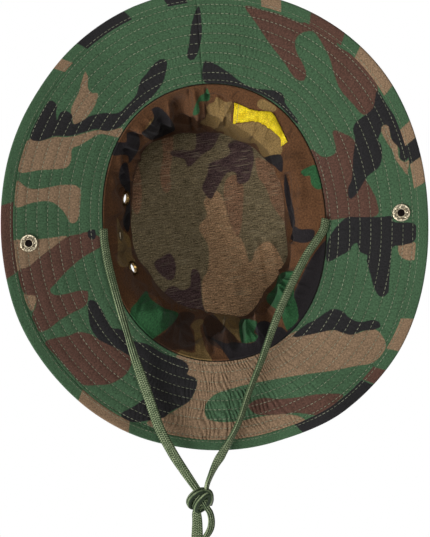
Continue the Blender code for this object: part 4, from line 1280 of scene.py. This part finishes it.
def makeTop():
    turn, share = np.meshgrid(np.linspace(0, fullTurn, crown["topColumns"], endpoint=False),
                              np.linspace(0, 1, crown["topRows"] + 1))
    edge = wallPoint(turn, np.full_like(turn, hat["topHeight"]), -0.4)  # a narrow seam stands out over the walls
    rise = hat["topRise"] * (1 - ease((share - hat["topFlat"]) / (1 - hat["topFlat"])))
    x, y = edge[..., 0] * share, edge[..., 1] * share
    flat = np.stack([x, y, 0 * x], axis=-1).reshape(-1, 3)
    soft = (0.7 * clothNoise(flat, 34.0, 12) + 0.35 * clothNoise(flat, 14.0, 13)).reshape(turn.shape) - 0.5
    level = hat["topHeight"] - 0.25 + rise  # the walls end inside the top's seam
    soft = soft - foldedIn(np.stack([x, y, level], axis=-1))
    lower = np.stack([x, y, level + soft * ease((1 - share) / 0.2)], axis=-1).reshape(-1, 3)
    upper = lower + np.array([0, 0, 0.9])
    points = np.vstack([lower, upper])
    fields = joinFields(printPatches(lower, liningPatches), printOutside(upper))
    c, s = math.cos(photo["roll"]), math.sin(photo["roll"])
    across, along = points[:, 0], points[:, 1]
    cloth = np.stack([across * c - along * s, across * s + along * c, 0 * across], axis=1)
    faces = shellFaces(*turn.shape, wrap=True)
    piece = makePiece("crown_top_panel", points, faces, faceCloth, clothValues(points, cloth, fields))
    piece.data.materials.append(liningCloth)
    inside = np.zeros(len(faces), np.int32)
    inside[:crown["topColumns"] * crown["topRows"]] = 1
    piece.data.polygons.foreach_set("material_index", inside)
    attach(piece, "hat")
    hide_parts("crown_top")


makeTop()
print("crown made")


# Sweatband: a strip sewn in at the seam, its upper edge flopped inwards most at the right
band = {
    "columns": 860, "rows": 30, "high": 30.0, "thick": 0.9,
    "lean": [  # degrees round, degrees that the strip leans in
        (0, 15), (14, 14), (27, 32), (42, 26), (60, 33), (75, 26), (84, 40), (92, 36), (105, 50), (130, 62), (155, 68),
        (168, 64), (178, 55), (190, 48), (205, 46), (222, 49), (255, 45), (270, 31), (285, 15),
        (295, 15), (304, 40), (320, 38), (331, 16), (345, 12)],
    "wrinkle": 1.0, "folds": 4.6, "foldWide": 17.0, "fineFolds": 1.1, "fineWide": 6.5, "hold": 1.2,
}


def bandPoint(turn, share, off=0.0):
    # off moves a point away from the crown, towards the head
    lean = np.radians(turnCurve(turn, band["lean"]))
    c, s = np.cos(turn), np.sin(turn)
    swell = seamSwell(turn)

    def placed(stand):
        inset = 0.6 + band["high"] * share * np.sin(lean) + stand * np.cos(lean)
        height = hat["seamHeight"] + 0.6 + band["high"] * share * np.cos(lean) - stand * np.sin(lean)
        return np.stack([c * (hat["seam"][0] + swell - inset), s * (hat["seam"][1] + swell - inset), height], axis=-1)

    flat = np.stack([turn * 90, share * 14 + 0 * turn, 0 * turn], axis=-1).reshape(-1, 3)
    soft = clothNoise(flat, 11.0, 15).reshape(turn.shape) + 0.5 * clothNoise(flat, 5.0, 16).reshape(turn.shape)
    pleats = (band["folds"] * sharpFolds(turn * 90 + share * 9, share * 30, band["foldWide"], 21)
              + band["fineFolds"] * sharpFolds(turn * 90 - share * 5, share * 30, band["fineWide"], 23))
    belly = 1.6 * np.sin(math.pi * share)
    drawn = foldedIn(placed(belly)) * ease(share / 0.2)
    folded = (band["wrinkle"] * soft + pleats) * ease(share / 0.5) + belly + drawn
    slack = band["hold"] + 10 * share * np.sin(lean)  # how far a fold may sink towards the wall
    return placed(off + np.maximum(folded, -slack))


def makeBand():
    turn, share = np.meshgrid(np.linspace(0, fullTurn, band["columns"], endpoint=False) + math.pi / 2,
                              np.linspace(0, 1, band["rows"] + 1))
    inner = bandPoint(turn, share, band["thick"]).reshape(-1, 3)
    outer = bandPoint(turn, share).reshape(-1, 3)
    points = np.vstack([inner, outer])
    shown = printPatches(inner, insidePatches)
    fields = joinFields(shown, shown)
    cloth = np.tile(np.stack([turn.ravel() * 88, share.ravel() * band["high"], 0 * turn.ravel()], axis=1), (2, 1))
    piece = makePiece("sweatband_strip", points, shellFaces(*turn.shape, wrap=True), insideCloth,
                      clothValues(points, cloth, fields))
    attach(piece, "hat")
    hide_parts("sweatband")


makeBand()
print("sweatband made")


# Label: a blank yellow tape sewn at both ends, slack in the middle
label = {
    "upper": [(233, 102), (245, 107), (256, 111), (264, 111), (273, 112), (279, 124), (283, 132), (288, 143)],
    "lower": [(231, 124), (243, 122), (256, 121), (263, 124), (272, 130), (280, 137), (281, 141), (281, 147)],
    "columns": 60, "rows": 14, "off": 1.5, "thick": 0.4, "slack": 1.6, "sewnAt": [(0.06, 1.9), (0.97, 1.9)],
}


def labelMaterial():
    material, tree, shader = newMaterial("yellowTape", Roughness=0.6)
    shader.inputs["Specular IOR Level"].default_value = 0.3
    cloth = readVector(tree, "cloth")
    weave = useGroup(tree, clothWeave, {"Cloth": cloth, "Pitch": 0.5})
    blotchy = noiseNode(tree, cloth, 0.16, 4.0)
    shown = blendColour(tree, ramp(tree, blotchy, 0.34, 0.7), srgb(204, 174, 8), srgb(234, 210, 26))
    shown = addNode(tree, "ShaderNodeHueSaturation", {"Value": weave["Shade"], "Color": shown}).outputs["Color"]
    tree.links.new(shown, shader.inputs["Base Color"])
    creases = useGroup(tree, softCreases, {"Place": cloth, "Size": 6.0})["Height"]
    bumpNormal(tree, shader, calc(tree, "MULTIPLY_ADD", creases, 3.0, weave["Height"]), 0.0001)
    return material


def makeLabel():
    turns, shares = np.meshgrid(np.radians(np.linspace(92, 160, 690)), np.linspace(0, 1, 121))
    spots = bandPoint(turns, shares, label["off"])
    seen = toPhoto(spots.reshape(-1, 3))
    along = np.linspace(0, 1, label["columns"] + 1)
    edges = []
    for key in ("upper", "lower"):
        line = np.array(label[key], float)
        steps = np.linspace(0, 1, len(line))
        pixels = np.stack([np.interp(along, steps, line[:, i]) for i in range(2)], axis=1)
        nearest = [np.argmin(((seen - pixel) ** 2).sum(axis=1)) for pixel in pixels]
        edges.append((turns.ravel()[nearest], shares.ravel()[nearest]))
    across = np.linspace(0, 1, label["rows"] + 1)[:, None]
    turn = mix(edges[0][0][None], edges[1][0][None], across)
    share = mix(edges[0][1][None], edges[1][1][None], across)
    smoothing = np.ones(7) / 7
    pad = [np.pad(rows, ((0, 0), (3, 3)), mode="edge") for rows in (turn, share)]
    turn, share = (np.stack([np.convolve(row, smoothing, "valid") for row in rows]) for rows in pad)
    loose = label["slack"] * np.sin(math.pi * along)[None] * np.sin(math.pi * across) + 0 * turn
    front = bandPoint(turn, share, label["off"] + loose + label["thick"]).reshape(-1, 3)
    back = bandPoint(turn, share, label["off"] + loose).reshape(-1, 3)
    points = np.vstack([front, back])
    cloth = np.tile(np.stack([(along[None] * 58 + 0 * turn).ravel(), (across * 17 + 0 * turn).ravel(),
                              0 * turn.ravel()], axis=1), (2, 1))
    piece = makePiece("label_tape", points, shellFaces(*turn.shape), labelMaterial(), {"cloth": cloth, "place": points})
    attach(piece, "hat")
    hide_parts("label")
    blocks = []
    for place, pitch in label["sewnAt"]:
        column = int(round(place * label["columns"]))
        line = bandPoint(turn[:, column], share[:, column], label["off"] + loose[:, column] + label["thick"] + 0.05)
        lifted = bandPoint(turn[:, column], share[:, column], label["off"] + loose[:, column] + label["thick"] + 1.05)
        blocks.append(stitchBlock(line, unit(lifted - line), pitch, pitch * 0.8, 0.4))
    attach(makeStitches("label_stitches", blocks), "hat")


makeLabel()
print("label made")


# Foliage band: webbing that stands out in loops between its rows of stitching
foliage = {"loops": 16, "bulge": 2.0, "low": 27, "high": 52, "off": 0.5, "thick": 0.9, "columns": 512, "rows": 14}


def foliagePoint(turn, height, off):
    out = foliage["off"] + off + foliage["bulge"] * np.abs(np.sin(turn * foliage["loops"] / 2)) ** 0.8
    return wallPoint(turn, height, -out)


def makeFoliage():
    turn, height = np.meshgrid(np.linspace(0, fullTurn, foliage["columns"], endpoint=False),
                               np.linspace(foliage["low"], foliage["high"], foliage["rows"] + 1))
    outer = foliagePoint(turn, height, foliage["thick"]).reshape(-1, 3)
    inner = foliagePoint(turn, height, 0.0).reshape(-1, 3)
    points = np.vstack([outer, inner])
    fields = printOutside(points, (1.0, 1.0, 0.9))
    cloth = np.tile(np.stack([turn.ravel() * 92, height.ravel(), 0 * turn.ravel()], axis=1), (2, 1))
    piece = makePiece("foliage_loops", points, shellFaces(*turn.shape, wrap=True), faceCloth,
                      clothValues(points, cloth, fields))
    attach(piece, "hat")
    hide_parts("foliage_band")


makeFoliage()


def crownStitches():
    blocks = []
    turn = np.linspace(0, fullTurn, 1400)
    zero = np.zeros_like(turn)

    def outward(angle):
        return np.stack([np.cos(angle) / hat["wall"][0], np.sin(angle) / hat["wall"][1], 0 * angle], axis=1) * 80

    for height in (hat["topHeight"] - 2.2, hat["topHeight"] - 5.5):
        line = wallPoint(turn, zero + height, -0.1)
        blocks.append(stitchBlock(line, outward(turn), thread["pitch"], thread["long"], thread["thick"]))
    for seam in (math.pi / 2, -math.pi / 2):
        for off in (-3.0, 3.0):
            height = np.linspace(54, hat["topHeight"] - 6, 90)
            angle = np.full_like(height, seam + off / hat["wall"][1])
            blocks.append(stitchBlock(wallPoint(angle, height, -0.1), outward(angle), thread["pitch"],
                                      thread["long"], thread["thick"]))
    for i in range(foliage["loops"]):
        seam = fullTurn * i / foliage["loops"]
        for off in np.linspace(-0.8, 0.8, 3):
            height = np.linspace(foliage["low"] + 1, foliage["high"] - 1, 40)
            angle = np.full_like(height, seam + off / 90)
            line = foliagePoint(angle, height, foliage["thick"] + 0.05)
            blocks.append(stitchBlock(line, outward(angle), 1.5, 1.3, 0.42))
    piece = makeStitches("crown_stitches", blocks)
    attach(piece, "hat")
    topBlocks = []
    for share in (0.955, 0.92):
        edge = wallPoint(turn, zero + hat["topHeight"])
        line = edge * np.array([share, share, 0]) + np.array([0, 0, 1]) * (
            hat["topHeight"] + 1.25 + hat["topRise"] * (1 - ease((share - hat["topFlat"]) / (1 - hat["topFlat"]))))
        topBlocks.append(stitchBlock(line, np.tile([0.0, 0.0, 1.0], (len(turn), 1)), thread["pitch"], thread["long"],
                                     thread["thick"]))
    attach(makeStitches("crown_top_stitches", topBlocks), "hat")


crownStitches()
print("foliage band and crown stitches made")


# Metal: brass vents and the brim snaps, turned from their profiles
def metalMaterial(name, bright, dull, roughness):
    material, tree, shader = newMaterial(name, Metallic=1.0)
    place = readVector(tree, "place")
    age = useGroup(tree, metalAge, {"Place": place})
    shown = blendColour(tree, age["Film"], bright, dull)
    # painted shade darkens the metal in its hollows and between the prongs
    shown = blendColour(tree, readValue(tree, "hollowShade"), shown, srgb(16, 13, 12))
    tree.links.new(shown, shader.inputs["Base Color"])
    rough = calc(tree, "MULTIPLY_ADD", age["Film"], 0.22, roughness)
    tree.links.new(rough, shader.inputs["Roughness"])
    bumpNormal(tree, shader, age["Scratch"], 0.00004)
    return material


ventBrass = metalMaterial("ventBrass", srgb(128, 104, 62), srgb(44, 34, 24), 0.3)
snapMetal = metalMaterial("snapMetal", srgb(186, 176, 152), srgb(92, 80, 62), 0.26)

fittings = {
    "steps": 64, "prongs": 8,
    "eyelet": [(4.0, 0.9), (4.12, 1.12), (4.4, 1.22), (5.0, 1.24), (5.6, 1.15), (6.1, 0.95), (6.3, 0.7), (6.3, 0.45),
               (4.5, 0.45), (4.5, -1.5), (5.4, -1.5), (5.5, -1.7), (5.4, -1.9), (4.9, -2.06), (4.4, -2.1), (4.1, -2.0),
               (4.0, -1.8)],
    "washer": [(4.8, -1.0), (6.0, -1.0), (6.2, -1.1), (6.2, -1.4), (6.0, -1.5), (4.8, -1.5)],
    "stud": [(0, 3.7), (0.7, 3.68), (1.3, 3.56), (1.9, 3.3), (2.3, 2.9), (2.4, 2.6), (2.2, 2.2), (1.95, 1.9),
             (1.9, 1.3), (2.1, 1.15), (3.6, 1.05), (3.85, 0.9), (3.9, 0.45), (2.9, 0.45), (2.9, -4.1), (3.3, -4.12),
             (3.5, -4.25), (3.45, -4.5), (3.1, -4.72), (2.8, -4.7), (2.62, -4.5), (2.55, -4.2), (2.5, -3.6),
             (1.2, -3.5), (0, -3.46)],
    "ring": [(3.1, -3.15), (5.8, -3.15), (6.2, -3.25), (6.35, -3.42), (6.25, -3.66), (6.0, -3.82), (5.7, -3.86),
             (5.4, -3.84), (5.1, -3.82), (4.8, -3.8), (4.5, -3.8), (4.2, -3.8), (3.9, -3.8), (3.6, -3.8), (3.1, -3.7)],
    "socket": [(0, 1.5), (3.1, 1.5), (3.1, 3.6), (3.2, 3.82), (3.5, 3.92), (4.4, 3.92), (4.7, 3.8), (4.8, 3.55),
               (4.8, 1.5), (5.0, 1.3), (5.8, 1.12), (6.0, 0.9), (6.0, 0.45), (2.2, 0.45), (2.2, -1.4), (4.4, -1.4),
               (4.6, -1.6), (4.4, -1.9), (2.0, -2.08), (0, -2.1)],
}


def turnedPiece(name, node, shape, closed, material, body):
    centre, direction = fittingAxes[node]
    profile = np.array(fittings[shape], float)
    steps, rows = fittings["steps"], len(profile)
    angle = np.linspace(0, fullTurn, steps, endpoint=False)
    sideways = unit(np.cross(direction, [0.0, 1.0, 0.02]))
    upward = np.cross(direction, sideways)
    radius = profile[:, :1] + 0 * angle[None]
    level = profile[:, 1:] + 0 * angle[None]
    hollowShade = np.zeros((rows, steps))
    if shape == "ring":  # clinched prongs stand on the flange, with painted shade between them
        lobes = np.clip(np.cos(fittings["prongs"] * angle), 0, 1)[None] ** 0.7
        ledge = np.exp(-(((radius - 4.45) / 0.75) ** 2)) * (level < -3.5)
        level = level - 0.6 * lobes * ledge
        hollowShade = 0.85 * (1 - lobes) * ledge
    if shape == "stud":  # painted shade in the hollow of the barrel
        hollowShade = np.where((radius < 2.58) & (level < -3), 1.0, 0.0)
    points = (centre + radius[..., None] * (sideways * np.cos(angle)[None, :, None]
                                            + upward * np.sin(angle)[None, :, None]) + level[..., None] * direction)
    faces = gridFaces(rows, steps, wrap=True)
    if closed:
        index = np.arange(rows * steps).reshape(rows, steps)
        last, first = np.append(index[-1], index[-1, 0]), np.append(index[0], index[0, 0])
        faces = np.vstack([faces, np.stack([last[:-1], last[1:], first[1:], first[:-1]], axis=-1)])
    piece = makePiece(name, points.reshape(-1, 3), faces, material, {
        "place": points.reshape(-1, 3), "hollowShade": hollowShade.ravel()}, 50)
    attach(piece, body)
    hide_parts(node)


fittingAxes = {}
brimSlope = math.atan((hat["seamHeight"] - hat["rimHeight"]) / (hat["rim"][0] - hat["seam"][0]))
wallLean = math.atan((hat["wall"][0] - hat["top"][0]) / (hat["topHeight"] - hat["wallFoot"]))
snap = {"x": 135.0, "y": -4.0, "foldX": 88.0, "foldZ": 17.69}


def placeFittings():
    for side, sideName in ((1, "left"), (-1, "right")):
        for along, ending in ((25, "back"), (-31, "front")):
            for piece in ("eyelet", "washer"):
                spot, outward = wallPlace(side, along, ventHeight)
                upward = unit(np.array([0, 0, 1.0]) - outward * outward[2])
                tipped = outward * math.cos(ventLean) + upward * math.sin(ventLean)
                fittingAxes[f"vent_{sideName}_{ending}_{piece}"] = (spot, tipped)
        upright = np.array([side * math.sin(brimSlope), 0, math.cos(brimSlope)])
        share = (snap["x"] - hat["seam"][0]) / (hat["rim"][0] - hat["seam"][0])
        top = mix(hat["seamHeight"], hat["rimHeight"], share) + hat["brimThick"] / math.cos(brimSlope)
        seat = np.array([side * snap["x"], snap["y"], top])
        fittingAxes[f"snap_{sideName}_stud"] = (seat, upright)
        fittingAxes[f"snap_{sideName}_ring"] = (seat, upright)
        angle = math.pi / 2 + wallLean + brimSlope
        swing = np.array(Matrix.Rotation(-side * angle, 3, "Y"))
        axis = np.array([side * snap["foldX"], 0, snap["foldZ"]])
        inward = swing @ upright
        arrived = axis + swing @ (seat - axis)
        gap = (snap["foldX"] - wallOval(snap["foldZ"])[0]) * math.cos(wallLean) + 0.3 * math.cos(brimSlope)
        fittingAxes[f"snap_{sideName}_socket"] = (arrived + inward * gap, -inward)


def makeFittings():
    placeFittings()
    for side in ("left", "right"):
        for ending in ("back", "front"):
            for part in ("eyelet", "washer"):
                node = f"vent_{side}_{ending}_{part}"
                turnedPiece(f"{node}_brass", node, part, True, ventBrass, "hat")
        turnedPiece(f"snap_{side}_stud_metal", f"snap_{side}_stud", "stud", False, snapMetal, f"{side}_flap")
        turnedPiece(f"snap_{side}_ring_metal", f"snap_{side}_ring", "ring", True, snapMetal, f"{side}_flap")
        turnedPiece(f"snap_{side}_socket_metal", f"snap_{side}_socket", "socket", False, snapMetal, "hat")


makeFittings()
print("metal fittings made")


# Stage: a pale floor that shows only from above, white surroundings and soft lamps
stage = {
    "floorDrop": 0.0004, "floorSize": 40.0, "floorTone": srgb(236, 236, 234), "whiteFrom": (0.3, 1.2), "ambient": 0.08,
    "lamps": [
        # name, place, size in metres, watts
        ("belowKey", (3.0, -1.7, -2.5), 2.4, 190),
        ("belowFront", (-0.25, 0.25, -1.3), 0.8, 5.5),
        ("aboveKey", (-0.9, -1.2, 1.7), 1.3, 30),
        ("aboveFill", (1.3, 0.9, 1.5), 1.6, 16),
    ],
}


def makeStage():
    bpy.ops.mesh.primitive_plane_add(size=stage["floorSize"], location=(0, 0, -stage["floorDrop"]))
    floor = bpy.context.object
    floor.name = "stage_floor"
    material, tree, shader = newMaterial("paleFloor", Roughness=0.9)
    shader.inputs["Base Color"].default_value = stage["floorTone"]
    clear = addNode(tree, "ShaderNodeBsdfTransparent")
    spot = addNode(tree, "ShaderNodeNewGeometry").outputs
    away = addNode(tree, "ShaderNodeVectorMath", {0: spot["Position"]}, operation="LENGTH").outputs["Value"]
    white = addNode(tree, "ShaderNodeEmission")
    paler = addNode(tree, "ShaderNodeMixShader", {  # the far floor goes over into the white room
        0: ramp(tree, away, *stage["whiteFrom"]), 1: shader.outputs[0], 2: white.outputs[0]})
    either = addNode(tree, "ShaderNodeMixShader", {0: spot["Backfacing"], 1: paler.outputs[0], 2: clear.outputs[0]})
    tree.links.new(either.outputs[0], tree.nodes["Material Output"].inputs["Surface"])
    floor.data.materials.append(material)
    floor.visible_shadow = False
    floor.visible_diffuse = False
    floor.visible_glossy = False
    floor.visible_transmission = False

    world = bpy.data.worlds.new("whiteRoom")
    bpy.context.scene.world = world
    world.use_nodes = True
    tree = world.node_tree
    path = addNode(tree, "ShaderNodeLightPath").outputs
    seen = calc(tree, "MAXIMUM", calc(tree, "MAXIMUM", path["Is Camera Ray"], path["Is Glossy Ray"]),
                path["Is Transmission Ray"])
    strength = calc(tree, "MULTIPLY_ADD", seen, 1 - stage["ambient"], stage["ambient"])
    tree.links.new(strength, tree.nodes["Background"].inputs["Strength"])
    tree.nodes["Background"].inputs["Color"].default_value = (1, 1, 1, 1)

    for name, place, size, watts in stage["lamps"]:
        lamp = bpy.data.lights.new(name, "AREA")
        lamp.size = size
        lamp.energy = watts
        holder = bpy.data.objects.new(name, lamp)
        bpy.context.scene.collection.objects.link(holder)
        holder.location = place
        holder.rotation_mode = "QUATERNION"
        holder.rotation_quaternion = (-Vector(place)).to_track_quat("-Z", "Y")
        holder.visible_camera = False


makeStage()
print("stage set")
